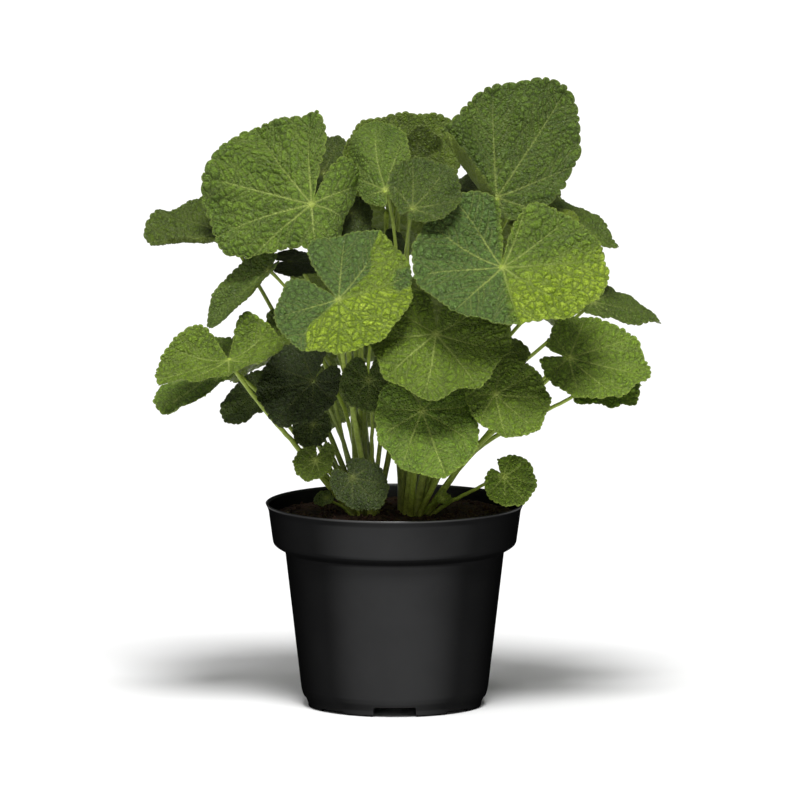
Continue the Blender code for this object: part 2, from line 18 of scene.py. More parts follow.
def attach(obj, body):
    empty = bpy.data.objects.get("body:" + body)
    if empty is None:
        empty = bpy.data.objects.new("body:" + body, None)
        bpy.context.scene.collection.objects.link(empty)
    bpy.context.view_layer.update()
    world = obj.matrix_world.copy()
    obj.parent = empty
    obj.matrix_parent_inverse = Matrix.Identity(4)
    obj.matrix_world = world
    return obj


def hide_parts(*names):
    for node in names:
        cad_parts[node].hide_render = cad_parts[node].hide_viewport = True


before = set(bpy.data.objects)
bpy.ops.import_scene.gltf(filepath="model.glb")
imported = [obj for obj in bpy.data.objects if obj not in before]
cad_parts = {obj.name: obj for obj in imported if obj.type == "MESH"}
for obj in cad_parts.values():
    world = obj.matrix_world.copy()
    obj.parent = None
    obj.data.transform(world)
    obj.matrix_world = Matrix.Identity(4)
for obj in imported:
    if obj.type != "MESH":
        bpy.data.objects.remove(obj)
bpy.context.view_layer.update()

MM = 0.001
GAP = 0.3  # clearance between touching pieces

# ---------------------------------------------------------------- pot
POT_HEIGHT = 150.0
POT_RIM_R = 95.0
POT_WALL = 1.6
POT_SEGMENTS = 40
COLLAR_TOP_R = 92.8
COLLAR_FOOT_R = 89.7
COLLAR_FOOT_Z = 121.0
BODY_TOP_R = 80.4
BODY_TOP_Z = 113.0
BODY_FOOT_R = 68.8
LEDGE_Z = 13.0
FOOT_R = 65.8
FLOOR_Z = 9.5  # underside of the raised floor
PAD_R = 24.0  # centre pad of the floor, which reaches the ground
NOTCH_HEIGHT = 7.3
NOTCH_WIDTH = 31.0
LOW_NOTCH_HEIGHT = 2.4
LOW_NOTCH_WIDTH = 24.0
DRAIN_R = 4.5
DRAIN_RING_R = 47.0

# ---------------------------------------------------------------- soil
SOIL_EDGE_Z = 140.5
SOIL_MOUND = 2.0
SOIL_RINGS = (0.0, 0.3, 0.62, 0.86, 1.0)

# ---------------------------------------------------------------- plant
# The stalks of each crown fan out like rays from a point below the soil.
CROWNS = {"left": (-19.0, -4.0), "right": (11.0, -4.0)}
CROWN_DEPTH = 11.0
STALK_CLEARANCE = 0.5
BLADE_THICKNESS = 1.0
STALK_SIDES = 6
STALK_STATIONS = 6
REACH_ANGLES = (-150.0, -100.0, -50.0, 0.0, 50.0, 100.0, 150.0)
VEIN_ANGLES = (0.0, 38.0, 78.0, 122.0)

# One row per leaf. hub: where the stalk meets the blade. az, el: where the
# upper face looks (az 0 = front, 90 = right, 180 = back). turn: heading of the
# midrib, counted from straight down the slope, anticlockwise as seen on the
# upper face. reach: margin distance from the hub at REACH_ANGLES from the
# midrib. sinus: half opening of the notch. cup: rise of the margin. bends:
# (direction, offset, angle, width) of each fold, direction from the midrib.
# The last entry of some rows holds extras: bow shifts the stalk's lower handle,
# and skew leans the notch to one side, in degrees.
LEAVES = [
    # name, crown, hub, az, el, turn, reach, sinus, cup, bends
    ("leaf_top_left_large", "left", (-61, -24, 374.5), -25, 30, -15, (78, 93, 79, 38, 42, 33, 47), 4, -0.04, [(100, 3, -95, 30)], {"bow": (10, -20, 0), "skew": 10}),
    ("leaf_far_left", "left", (-124, 30, 346), -25, 64, -72, (50, 56, 54, 60, 22, 16, 24), 12, 0.05, [(90, 9, 70, 5)], {"bow": (0, 48, 0)}),
    ("leaf_top_centre", "left", (-7, -16, 384), -30, 28, -145, (14, 18, 36, 66, 30, 14, 12), 10, -0.10, []),
    ("leaf_back_top", "left", (6, 35, 392), 10, 35, 178, (20, 38, 52, 42, 46, 44, 32), 10, 0.15, []),
    ("leaf_top_small", "right", (13, -62, 377), 5, 42, 138, (9, 16, 33, 42, 38, 17, 9), 10, 0.10, []),
    ("leaf_top_right_large", "right", (75, -20, 379), 12, 22, 145, (16, 24, 49, 94, 71, 54, 26), 14, 0.06, [(161, 2, 95, 10)]),
    ("leaf_right_large", "right", (79, -76, 335), 3, 52, 4, (68, 67, 59, 57, 74, 75, 63), 4, 0.0, [(180, 4, 22, 20)], {"skew": -14}),
    ("leaf_left_large", "left", (-41, -80, 312), -5, 42, 46, (43, 51, 49, 48, 54, 62, 57), 7, 0.0, [], {"bow": (0, 14, 0)}),
    ("leaf_centre_large", "right", (30, -75, 286), 0, 42, -4, (40, 48, 52, 60, 56, 54, 40), 6, 0.05, []),
    ("leaf_centre_low", "right", (20, -82, 230), -10, 38, 24, (36, 36, 43, 62, 44, 37, 32), 8, 0.05, [(90, 2, -14, 12), (-90, 2, -14, 12)]),
    ("leaf_right_low", "right", (74, -78, 242), 20, 40, 35, (24, 27, 38, 41, 40, 35, 28), 8, 0.05, []),
    ("leaf_far_right", "right", (128, -45, 264), 15, 50, 72, (24, 34, 44, 60, 50, 41, 20), 12, 0.0, []),
    ("leaf_far_right_under", "right", (145, -25, 244), 25, 62, 0, (20, 26, 32, 35, 37, 34, 24), 12, 0.0, [], {"bow": (-6, 0, 26)}),
    ("leaf_rim_right", "right", (80, -45, 176), 12, 30, 36, (12, 17, 22, 25, 25, 21, 15), 14, -0.10, []),
    ("leaf_front_foot", "left", (-31, -72, 179), -5, 20, 43, (16, 18, 22, 29, 25, 17, 14), 12, -0.10, []),
    ("leaf_left_shaded", "left", (-60, -40, 246), -15, 30, -32, (31, 36, 41, 42, 31, 23, 22), 10, 0.05, []),
    ("leaf_centre_shaded", "left", (-19, -54, 249), -5, 30, 3, (20, 20, 24, 27, 26, 26, 24), 10, 0.05, []),
    ("leaf_left_small", "left", (-58, -40, 187), -20, 35, -5, (12, 15, 17, 19, 16, 15, 16), 9, 0.10, []),
    ("leaf_left_wide", "left", (-122, -50, 263), -60, 74, 60, (48, 54, 50, 38, 38, 42, 46), 11, 0.0, [(180, 2, 58, 24)], {"bow": (-14, 0, -10)}),
    ("leaf_left_under", "left", (-124, -8, 254), -60, 50, -14, (28, 38, 50, 58, 32, 22, 20), 10, 0.05, []),
    ("leaf_left_folded", "left", (-93, -20, 326), -60, 40, -21, (12, 18, 30, 60, 18, 11, 10), 12, 0.0, [(90, 1, 38, 14), (-90, 1, 38, 14)]),
    ("leaf_left_inner", "left", (-77, 15, 327), 0, 72, 90, (18, 21, 23, 29, 24, 21, 18), 12, -0.10, [], {"bow": (12, 30, 0)}),
    ("leaf_left_tucked", "left", (-75, -1, 280), -30, 45, -111, (15, 17, 21, 25, 20, 17, 14), 12, 0.0, []),
    ("leaf_left_shaded_low", "left", (-99, 14, 232), -40, 35, -38, (16, 18, 25, 36, 24, 19, 16), 12, 0.0, []),
    ("leaf_centre_back_small", "right", (81, -35, 267), 20, 40, 81, (10, 12, 15, 19, 15, 12, 10), 14, 0.0, []),
    ("leaf_top_tucked", "right", (60, 8, 380), -30, 60, -102, (14, 18, 22, 25, 18, 14, 12), 14, 0.0, []),
    ("leaf_left_shaded_small", "left", (-60, -13, 210), -20, 30, 2, (13, 15, 17, 21, 17, 14, 12), 14, 0.0, []),
    ("leaf_top_shaded", "left", (-32, 5, 365), -10, 35, 13, (13, 16, 22, 27, 19, 14, 13), 12, 0.0, []),
    ("leaf_back_left_top", "left", (-53, 34, 390), -20, 40, -156, (26, 28, 30, 33, 30, 27, 24), 12, 0.0, []),
    ("leaf_right_back", "right", (110, 24, 366), 50, 65, 29, (20, 24, 33, 60, 34, 28, 22), 12, -0.05, []),
    ("leaf_far_right_back", "right", (146, 14, 297), 45, 60, 63, (18, 20, 24, 56, 34, 26, 20), 12, -0.05, []),
    ("leaf_top_cupped", "right", (13, 11, 394), 8, 18, 170, (12, 18, 26, 32, 14, 12, 12), 12, 0.25, []),
    ("leaf_inner_shaded", "right", (-9, 19, 340), 0, 35, 0, (13, 16, 20, 25, 21, 16, 13), 12, 0.0, []),
    ("leaf_soil_left", "left", (-50, -25, 157), -30, 50, -40, (7, 8, 9, 10, 9, 8, 7), 16, 0.10, []),
    ("leaf_shoot_right", "right", (34, -22, 156), 20, 40, 40, (5, 6, 7, 9, 7, 6, 5), 18, 0.45, []),
    ("leaf_right_olive", "right", (95, -13, 362), 15, 55, 87, (13, 15, 24, 40, 24, 16, 13), 10, 0.0, []),
    ("leaf_back_01", "left", (-39, 76, 309), -160, 42, 10, (33, 38, 41, 47, 41, 37, 33), 10, 0.0, []),
    ("leaf_back_02", "right", (-6, 94, 352), 178, 40, -10, (38, 46, 50, 54, 50, 44, 36), 10, 0.0, []),
    ("leaf_back_03", "right", (74, 78, 335), 150, 38, 5, (36, 44, 48, 52, 48, 44, 36), 10, 0.0, []),
    ("leaf_back_04", "left", (-92, 60, 262), -125, 42, 0, (30, 36, 42, 46, 42, 36, 30), 10, 0.0, []),
    ("leaf_back_05", "left", (-32, 105, 272), -168, 38, -8, (36, 44, 50, 54, 50, 44, 36), 10, 0.0, []),
    ("leaf_back_06", "right", (40, 112, 278), 168, 38, 12, (38, 46, 50, 54, 50, 46, 38), 10, 0.0, []),
    ("leaf_back_07", "right", (110, 60, 290), 120, 42, 0, (28, 34, 38, 42, 38, 34, 28), 10, 0.0, []),
    ("leaf_back_08", "left", (-45, 88, 222), -150, 32, 6, (28, 34, 38, 42, 38, 34, 28), 10, 0.0, []),
    ("leaf_back_09", "right", (5, 112, 215), 178, 32, 0, (30, 36, 40, 44, 40, 36, 30), 10, 0.0, []),
    ("leaf_back_10", "right", (76, 90, 218), 140, 34, 0, (28, 34, 38, 42, 38, 34, 28), 10, 0.0, []),
    ("leaf_back_11", "left", (2, 56, 393), 178, 54, 15, (17, 22, 25, 25, 25, 22, 17), 9, 0.05, [], {"bow": (4, 44, 0)}),
    ("leaf_back_12", "right", (128, 36, 250), 100, 42, -8, (18, 24, 29, 34, 29, 24, 18), 9, 0.0, []),
    ("leaf_back_14", "left", (-92, 79, 355), -150, 50, 5, (21, 25, 29, 32, 29, 25, 21), 9, 0.0, []),
    ("leaf_back_13", "right", (98, 61, 378), 140, 50, -10, (20, 23, 26, 28, 26, 23, 20), 9, 0.0, []),
]


def rad(degrees):
    return math.radians(degrees)


def unit(v):
    v = np.asarray(v, float)
    return v / np.linalg.norm(v)


# ---------------------------------------------------------------- leaf shape
def leaf_axes(az, el, turn):
    """Midrib direction, left-hand side direction and upper normal."""
    a, e, t = rad(az), rad(el), rad(turn)
    normal = np.array([math.cos(e) * math.sin(a), -math.cos(e) * math.cos(a), math.sin(e)])
    down = np.array([math.sin(e) * math.sin(a), -math.sin(e) * math.cos(a), -math.cos(e)])
    across = np.cross(normal, down)
    midrib = math.cos(t) * down + math.sin(t) * across
    return midrib, np.cross(normal, midrib), normal


def smooth_reach(reach, angle):
    """Margin distance at an angle, eased between the REACH_ANGLES."""
    a = np.abs(angle)
    known = np.array(REACH_ANGLES)
    span = np.clip(angle, known[0], known[-1])
    i = np.clip(np.searchsorted(known, span) - 1, 0, len(known) - 2)
    f = (span - known[i]) / (known[i + 1] - known[i])
    values = np.array(reach, float)
    slopes = np.gradient(values)
    slopes[0] = slopes[-1] = 0.0
    v0, v1, s0, s1 = values[i], values[i + 1], slopes[i], slopes[i + 1]
    f2, f3 = f * f, f * f * f
    base = v0 * (2 * f3 - 3 * f2 + 1) + s0 * (f3 - 2 * f2 + f) + v1 * (3 * f2 - 2 * f3) + s1 * (f3 - f2)
    lobes = np.cos(rad(1.0) * angle * 360.0 / 39.0) * np.clip((110.0 - a) / 40.0, 0.0, 1.0)
    return base * (1.0 + 0.025 * lobes)


def leaf_outline(leaf, count):
    """Margin points in the blade's own plane, evenly spaced, from the notch round to it."""
    reach, sinus = leaf[6], leaf[7]
    half = 180.0 - sinus
    angle = half * np.sin(np.linspace(-math.pi / 2, math.pi / 2, 1601))
    r = smooth_reach(reach, angle)
    r *= np.sqrt(np.clip(1.0 - (np.abs(angle) / half) ** 28, 0.0, 1.0))
    notch = max(3.2, 0.07 * min(reach))
    skew = leaf[10].get("skew", 0.0) if len(leaf) > 10 else 0.0
    angle = angle + skew * (angle / 180.0) ** 4
    u = r * np.cos(np.radians(angle))
    v = r * np.sin(np.radians(angle))
    u = u - notch * np.exp(-((r / (0.35 * max(reach))) ** 2))
    step = np.hypot(np.diff(u), np.diff(v))
    s = np.concatenate([[0.0], np.cumsum(step)])
    at = np.linspace(0.0, s[-1], count, endpoint=False)
    return np.stack([np.interp(at, s, u), np.interp(at, s, v)], axis=1)


def bend(points, direction, offset, angle, width):
    """Folds the part of the blade beyond a line across `direction` round a cylinder."""
    d = rad(direction)
    m = np.array([math.cos(d), math.sin(d)])
    along = np.array([-math.sin(d), math.cos(d)])
    s = points[:, 0] * m[0] + points[:, 1] * m[1] - offset
    t = points[:, 0] * along[0] + points[:, 1] * along[1]
    w = points[:, 2]
    a = rad(angle)
    theta = a * np.clip(s / width, 0.0, 1.0)
    radius = width / a
    arc_s = np.where(s > 0, radius * np.sin(theta), s)
    arc_w = np.where(s > 0, radius * (1.0 - np.cos(theta)), 0.0)
    over = np.clip(s - width, 0.0, None)
    arc_s = arc_s + over * math.cos(a) - w * np.sin(theta)
    arc_w = arc_w + over * math.sin(a) + w * np.cos(theta)
    out = np.empty_like(points)
    out[:, 0] = m[0] * (arc_s + offset) + along[0] * t
    out[:, 1] = m[1] * (arc_s + offset) + along[1] * t
    out[:, 2] = arc_w
    return out


def blade_points(leaf, flat, lift):
    """World positions of flat blade points, `lift` above the middle surface."""
    hub, az, el, turn, reach, cup, bends = leaf[2], leaf[3], leaf[4], leaf[5], leaf[6], leaf[8], leaf[9]
    size = float(np.mean(reach))
    r = np.hypot(flat[:, 0], flat[:, 1]) / size
    phi = np.arctan2(flat[:, 1], flat[:, 0])
    w = cup * size * r * r + 0.030 * size * np.clip(r, 0, 1.4) ** 3 * np.cos(5.0 * phi + hub[0])
    points = np.stack([flat[:, 0], flat[:, 1], w + lift], axis=1)
    for direction, offset, angle, width in bends:
        points = bend(points, direction, offset, angle, width)
    midrib, side, normal = leaf_axes(az, el, turn)
    return np.array(hub, float) + points[:, :1] * midrib + points[:, 1:2] * side + points[:, 2:3] * normal


def stalk_radius(leaf):
    size = float(np.mean(leaf[6]))
    return 1.0 + 0.034 * size, 0.85 + 0.014 * size


def soil_height(x, y):
    r = min(1.0, math.hypot(x, y) / 88.0)
    return SOIL_EDGE_Z + SOIL_MOUND * (1.0 - r * r)


def stalk_bases():
    """Foot of every stalk: on its ray from below the crown, then moved apart until none touch."""
    feet = []
    for leaf in LEAVES:
        crown, hub = np.array(CROWNS[leaf[1]]), np.array(leaf[2], float)
        share = CROWN_DEPTH / (CROWN_DEPTH + hub[2] - SOIL_EDGE_Z)
        feet.append(crown + (hub[:2] - crown) * share)
    feet = np.array(feet)
    radii = np.array([stalk_radius(leaf)[0] for leaf in LEAVES])
    for _ in range(400):
        moved = False
        for i in range(len(feet)):
            for j in range(i + 1, len(feet)):
                between = feet[j] - feet[i]
                apart = float(np.hypot(*between))
                short = radii[i] + radii[j] + STALK_CLEARANCE - apart
                if short > 0:
                    push = between / max(apart, 1e-6) * short * 0.5
                    feet[i] -= push
                    feet[j] += push
                    moved = True
        if not moved:
            break
    return {leaf[0]: foot for leaf, foot in zip(LEAVES, feet)}


def first_controls():
    """Control points of every stalk before they are moved apart: foot, two handles and hub."""
    controls = []
    for leaf in LEAVES:
        hub = np.array(leaf[2], float)
        extra = leaf[10] if len(leaf) > 10 else {}
        bx, by = BASES[leaf[0]]
        base = np.array([bx, by, soil_height(bx, by) + GAP])
        midrib, _, normal = leaf_axes(leaf[3], leaf[4], leaf[5])
        length = float(np.linalg.norm(hub - base))
        out = unit((hub - base) * np.array([0.72, 0.72, 1.0]))
        lean = unit(-normal * 0.85 - midrib * 0.35)
        hold = unit(0.55 * lean + 0.45 * unit(base - hub))
        p1 = base + out * 0.38 * length + np.array(extra.get("bow", (0, 0, 0)), float)
        p2 = hub + hold * 0.30 * length
        controls.append(np.array([base, p1, p2, hub]))
    return np.array(controls)


def curve_weights(count):
    t = np.linspace(0.0, 1.0, count)[:, None]
    return np.concatenate([(1 - t) ** 3, 3 * (1 - t) ** 2 * t, 3 * (1 - t) * t * t, t ** 3], axis=1)


def nearest_on_segments(p, dp, q, dq):
    """Shares s and t along two sets of segments where they come closest."""
    r = p - q
    a, e, f = (dp * dp).sum(-1), (dq * dq).sum(-1), (dq * r).sum(-1)
    c, b = (dp * r).sum(-1), (dp * dq).sum(-1)
    s = np.clip((b * f - c * e) / np.maximum(a * e - b * b, 1e-6), 0.0, 1.0)
    t = np.clip((b * s + f) / e, 0.0, 1.0)
    s = np.clip((b * t - c) / a, 0.0, 1.0)
    t = np.clip((b * s + f) / e, 0.0, 1.0)
    return s, t


def settled_controls():
    """The stalks of a crown part round each other: handles are moved until none touch."""
    controls = first_controls()
    weights = curve_weights(STALK_STATIONS + 1)
    share = np.linspace(1.0, 0.0, STALK_STATIONS + 1) ** 1.6
    radii = []
    for leaf in LEAVES:
        base_r, top_r = stalk_radius(leaf)
        radii.append(top_r + (base_r - top_r) * share)
    radii = np.array(radii)
    n = len(LEAVES)
    first, second = np.triu_indices(n, 1)
    k, m = [g.ravel() for g in np.meshgrid(range(STALK_STATIONS), range(STALK_STATIONS), indexing="ij")]
    for _ in range(400):
        paths = np.einsum("tc,ncx->ntx", weights, controls)
        p, q = paths[first][:, k], paths[second][:, m]
        dp, dq = paths[first][:, k + 1] - p, paths[second][:, m + 1] - q
        s, t = nearest_on_segments(p, dp, q, dq)
        between = (q + dq * t[..., None]) - (p + dp * s[..., None])
        apart = np.linalg.norm(between, axis=-1)
        rp = radii[first][:, k] * (1 - s) + radii[first][:, k + 1] * s
        rq = radii[second][:, m] * (1 - t) + radii[second][:, m + 1] * t
        short = rp + rq + STALK_CLEARANCE * 0.8 - apart
        worst = short.argmax(axis=1)
        pairs = np.nonzero(short[np.arange(len(first)), worst] > 0.0)[0]
        if not len(pairs):
            break
        move = np.zeros_like(controls)
        for pair in pairs:
            w = worst[pair]
            i, j = first[pair], second[pair]
            push = between[pair, w] / max(float(apart[pair, w]), 1e-6) * (float(short[pair, w]) + 0.05) * 0.5
            for stalk, station, part, sign in ((i, k[w], s[pair, w], -1.0), (j, m[w], t[pair, w], 1.0)):
                g = weights[station] * (1 - part) + weights[station + 1] * part
                scale = g[1] * g[1] + g[2] * g[2] + 0.02
                move[stalk, 1] += sign * push * g[1] / scale
                move[stalk, 2] += sign * push * g[2] / scale
        controls += move
    return {leaf[0]: c for leaf, c in zip(LEAVES, controls)}


def stalk_path(leaf, count):
    """Points from the soil up to the hub on one smooth curve, with the base first."""
    return curve_weights(count) @ CONTROLS[leaf[0]]


BASES = stalk_bases()
CONTROLS = settled_controls()



def turned(profile, segments):
    """Closed body of revolution; the profile starts and ends on the axis."""
    points, faces = [], []
    first = []
    for r, z in profile:
        first.append(len(points))
        if r < 1e-6:
            points.append((0.0, 0.0, z))
        else:
            for k in range(segments):
                a = 2 * math.pi * k / segments
                points.append((r * math.sin(a), -r * math.cos(a), z))
    for (a, (ra, _)), (b, (rb, _)) in zip(zip(first, profile), zip(first[1:], profile[1:])):
        for k in range(segments):
            n = (k + 1) % segments
            if ra < 1e-6:
                faces.append((a, b + k, b + n))
            elif rb < 1e-6:
                faces.append((a + k, b, a + n))
            else:
                faces.append((a + k, b + k, b + n, a + n))
    return points, faces


def pot_profile():
    """(radius, height) from the underside centre out, up the wall, over the lip and down inside."""
    w = POT_WALL
    outside = [
        (0.0, 0.0), (PAD_R, 0.0), (PAD_R + 1.5, FLOOR_Z - 2.5), (FOOT_R - 5.0, FLOOR_Z - 2.5),
        (FOOT_R - 3.2, 1.2), (FOOT_R - 2.8, 0.0), (FOOT_R - 1.8, 0.0), (FOOT_R - 0.6, 1.0), (FOOT_R, 4.5),
        (BODY_FOOT_R - 0.9, LEDGE_Z - 3.5), (BODY_FOOT_R, LEDGE_Z),
        (BODY_TOP_R, BODY_TOP_Z), (BODY_TOP_R + 0.8, BODY_TOP_Z + 1.8),
        (COLLAR_FOOT_R - 2.8, COLLAR_FOOT_Z - 3.0), (COLLAR_FOOT_R - 0.7, COLLAR_FOOT_Z - 1.2), (COLLAR_FOOT_R, COLLAR_FOOT_Z + 1.0),
        (COLLAR_TOP_R, POT_HEIGHT - 5.2), (POT_RIM_R - 0.8, POT_HEIGHT - 2.0), (POT_RIM_R, POT_HEIGHT - 0.5), (POT_RIM_R - 0.5, POT_HEIGHT),
    ]
    inside = [
        (POT_RIM_R - 1.6, POT_HEIGHT - 0.2), (COLLAR_TOP_R - w, POT_HEIGHT - 5.0),
        (COLLAR_FOOT_R - w, COLLAR_FOOT_Z + 1.0), (BODY_TOP_R - w + 0.4, BODY_TOP_Z + 2.0), (BODY_TOP_R - w, BODY_TOP_Z),
        (BODY_FOOT_R - w - 0.4, LEDGE_Z), (BODY_FOOT_R - w - 3.0, FLOOR_Z + 0.4), (PAD_R + 3.0, FLOOR_Z), (PAD_R, 2.0), (0.0, 2.0),
    ]
    return outside + inside


def cut(target, cutters):
    for cutter in cutters:
        cutter.hide_render = True
        cutter.display_type = "WIRE"
        modifier = target.modifiers.new(cutter.name, "BOOLEAN")
        modifier.operation = "DIFFERENCE"
        modifier.solver = "EXACT"
        modifier.object = cutter


def make_cutter(name, points, faces, parent):
    mesh = bpy.data.meshes.new(name)
    mesh.from_pydata([tuple(c * MM for c in p) for p in points], [], faces)
    work = bmesh.new()
    work.from_mesh(mesh)
    bmesh.ops.recalc_face_normals(work, faces=work.faces)
    work.to_mesh(mesh)
    work.free()
    obj = bpy.data.objects.new(name, mesh)
    bpy.context.scene.collection.objects.link(obj)
    obj.parent = parent
    return obj


def notch_cutter(name, angle, width, height, reach_in, parent):
    """A wedge-sided slot through the foot ring, wider at the ground."""
    a = rad(angle)
    out = np.array([math.sin(a), -math.cos(a)])
    side = np.array([math.cos(a), math.sin(a)])
    r0, r1 = FOOT_R - reach_in, FOOT_R + 6.0
    points = []
    for r in (r0, r1):
        for half, z in ((width / 2 + 0.6, -3.0), (width / 2, height - 0.8), (width / 2 - 0.8, height), (-width / 2 + 0.8, height), (-width / 2, height - 0.8), (-width / 2 - 0.6, -3.0)):
            xy = out * r + side * half
            points.append((xy[0], xy[1], z))
    faces = [(0, 1, 2, 3, 4, 5), (11, 10, 9, 8, 7, 6)]
    for i in range(6):
        n = (i + 1) % 6
        faces.append((i, i + 6, n + 6, n))
    return make_cutter(name, points, faces, parent)


def drain_cutter(name, angle, parent):
    a = rad(angle)
    cx, cy = DRAIN_RING_R * math.sin(a), -DRAIN_RING_R * math.cos(a)
    points, sides = [], 12
    for z in (-2.0, FLOOR_Z + 4.0):
        for k in range(sides):
            b = 2 * math.pi * k / sides
            points.append((cx + DRAIN_R * math.cos(b), cy + DRAIN_R * math.sin(b), z))
    faces = [tuple(range(sides)), tuple(range(2 * sides - 1, sides - 1, -1))]
    for k in range(sides):
        n = (k + 1) % sides
        faces.append((k, k + sides, n + sides, n))
    return make_cutter(name, points, faces, parent)


def inner_radius(z):
    """Inside of the pot wall at height z, from the inner half of the profile."""
    wall = sorted((zz, r) for r, zz in pot_profile()[20:28])
    return float(np.interp(z, [p[0] for p in wall], [p[1] for p in wall]))


# ---------------------------------------------------------------- looks
# Per leaf: mesh spacing in mm, tone (the leaf's own shade of green with painted
# light and shade: low for leaves in shade, above 1 for leaves that upper leaves
# shadow), warmth (-1 bluish to 1 yellowish), quilting, width of the marginal teeth in mm.
LOOKS = {
    "leaf_top_left_large": (0.82, 1.00, 0.15, 1.45, 8.8),
    "leaf_far_left": (0.95, 0.58, 0.35, 1.1, 6.0),
    "leaf_top_centre": (0.80, 0.92, 0.00, 1.1, 4.6),
    "leaf_back_top": (1.4, 0.75, 0.45, 0.8, 5.5),
    "leaf_top_small": (0.78, 0.56, 0.05, 0.9, 6.5),
    "leaf_top_right_large": (0.86, 0.75, -0.15, 1.15, 8.5),
    "leaf_right_large": (0.84, 0.95, -0.15, 1.15, 6.5),
    "leaf_left_large": (0.78, 0.90, -0.05, 1.0, 5.2),
    "leaf_centre_large": (0.86, 1.05, 0.35, 0.7, 5.0),
    "leaf_centre_low": (0.80, 1.25, -0.05, 0.8, 4.6),
    "leaf_right_low": (0.82, 1.15, 0.30, 1.0, 4.6),
    "leaf_far_right": (0.84, 1.30, 0.25, 1.1, 6.5),
    "leaf_far_right_under": (1.3, 1.70, 0.10, 1.3, 5.5),
    "leaf_rim_right": (0.72, 1.60, 0.25, 1.0, 4.6),
    "leaf_front_foot": (0.72, 0.30, 0.00, 1.0, 4.4),
    "leaf_left_shaded": (0.95, 0.24, -0.10, 1.2, 5.5),
    "leaf_centre_shaded": (1.1, 0.60, 0.20, 1.0, 4.2),
    "leaf_left_small": (0.74, 0.90, 0.40, 0.9, 4.0),
    "leaf_left_wide": (0.84, 1.05, 0.35, 0.8, 6.0),
    "leaf_left_under": (0.95, 1.15, 0.10, 1.2, 5.5),
    "leaf_left_folded": (1.2, 0.75, 0.00, 1.1, 5.0),
    "leaf_left_inner": (1.5, 0.25, 0.20, 0.8, 4.5),
    "leaf_left_tucked": (1.2, 0.75, 0.35, 0.9, 5.0),
    "leaf_left_shaded_low": (1.3, 0.45, 0.20, 0.9, 5.0),
    "leaf_centre_back_small": (1.2, 0.80, 0.45, 0.8, 5.5),
    "leaf_top_tucked": (1.4, 0.30, 0.20, 0.8, 4.5),
    "leaf_left_shaded_small": (1.3, 0.40, 0.00, 0.9, 4.5),
    "leaf_top_shaded": (1.3, 0.30, 0.20, 0.8, 4.5),
    "leaf_back_left_top": (1.4, 0.45, 0.30, 0.8, 4.5),
    "leaf_right_olive": (1.2, 0.85, 0.75, 0.8, 5.0),
    "leaf_right_back": (1.3, 0.75, 0.20, 1.0, 6.0),
    "leaf_far_right_back": (1.3, 0.70, 0.20, 0.9, 5.5),
    "leaf_top_cupped": (1.0, 0.60, 0.45, 0.7, 4.2),
    "leaf_inner_shaded": (1.5, 0.25, 0.20, 0.8, 4.5),
    "leaf_soil_left": (0.9, 0.50, 0.20, 0.8, 3.6),
    "leaf_shoot_right": (0.8, 1.00, 0.90, 0.5, 3.0),
}
BACK_LOOK = (1.7, 0.85, 0.15, 1.0, 7.0)

# Headings of the main veins from the midrib where they differ from VEIN_ANGLES.
VEIN_FANS = {
    "leaf_top_left_large": (-147.0, -116.5, -85.6, -58.6, -29.8, 30.5, 100.0, 141.0),
    "leaf_right_large": (-157.0, -125.0, -92.0, -46.0, 5.0, 44.0, 93.0, 127.0, 154.0),
    "leaf_left_large": (-117.0, -86.0, -40.0, -5.0, 64.0, 102.0, 134.0),
}

LEAF_THICKNESS = 0.55
TOOTH_SHARE = 0.29  # depth of a tooth over its width
STALK_STATIONS_FINE = 30
STALK_SIDES_FINE = 12
STALK_BURIED = 5.0


# ---------------------------------------------------------------- noise
def lattice(ix, iy, seed):
    h = np.sin(ix * 127.1 + iy * 311.7 + seed * 74.7) * 43758.5453
    return h - np.floor(h)


def noise2(x, y, seed=0.0):
    """Smooth value noise from 0 to 1."""
    ix, iy = np.floor(x), np.floor(y)
    fx, fy = x - ix, y - iy
    fx, fy = fx * fx * (3 - 2 * fx), fy * fy * (3 - 2 * fy)
    a, b = lattice(ix, iy, seed), lattice(ix + 1, iy, seed)
    c, d = lattice(ix, iy + 1, seed), lattice(ix + 1, iy + 1, seed)
    return (a * (1 - fx) + b * fx) * (1 - fy) + (c * (1 - fx) + d * fx) * fy


def smoothstep(low, high, x):
    t = np.clip((x - low) / (high - low), 0.0, 1.0)
    return t * t * (3 - 2 * t)


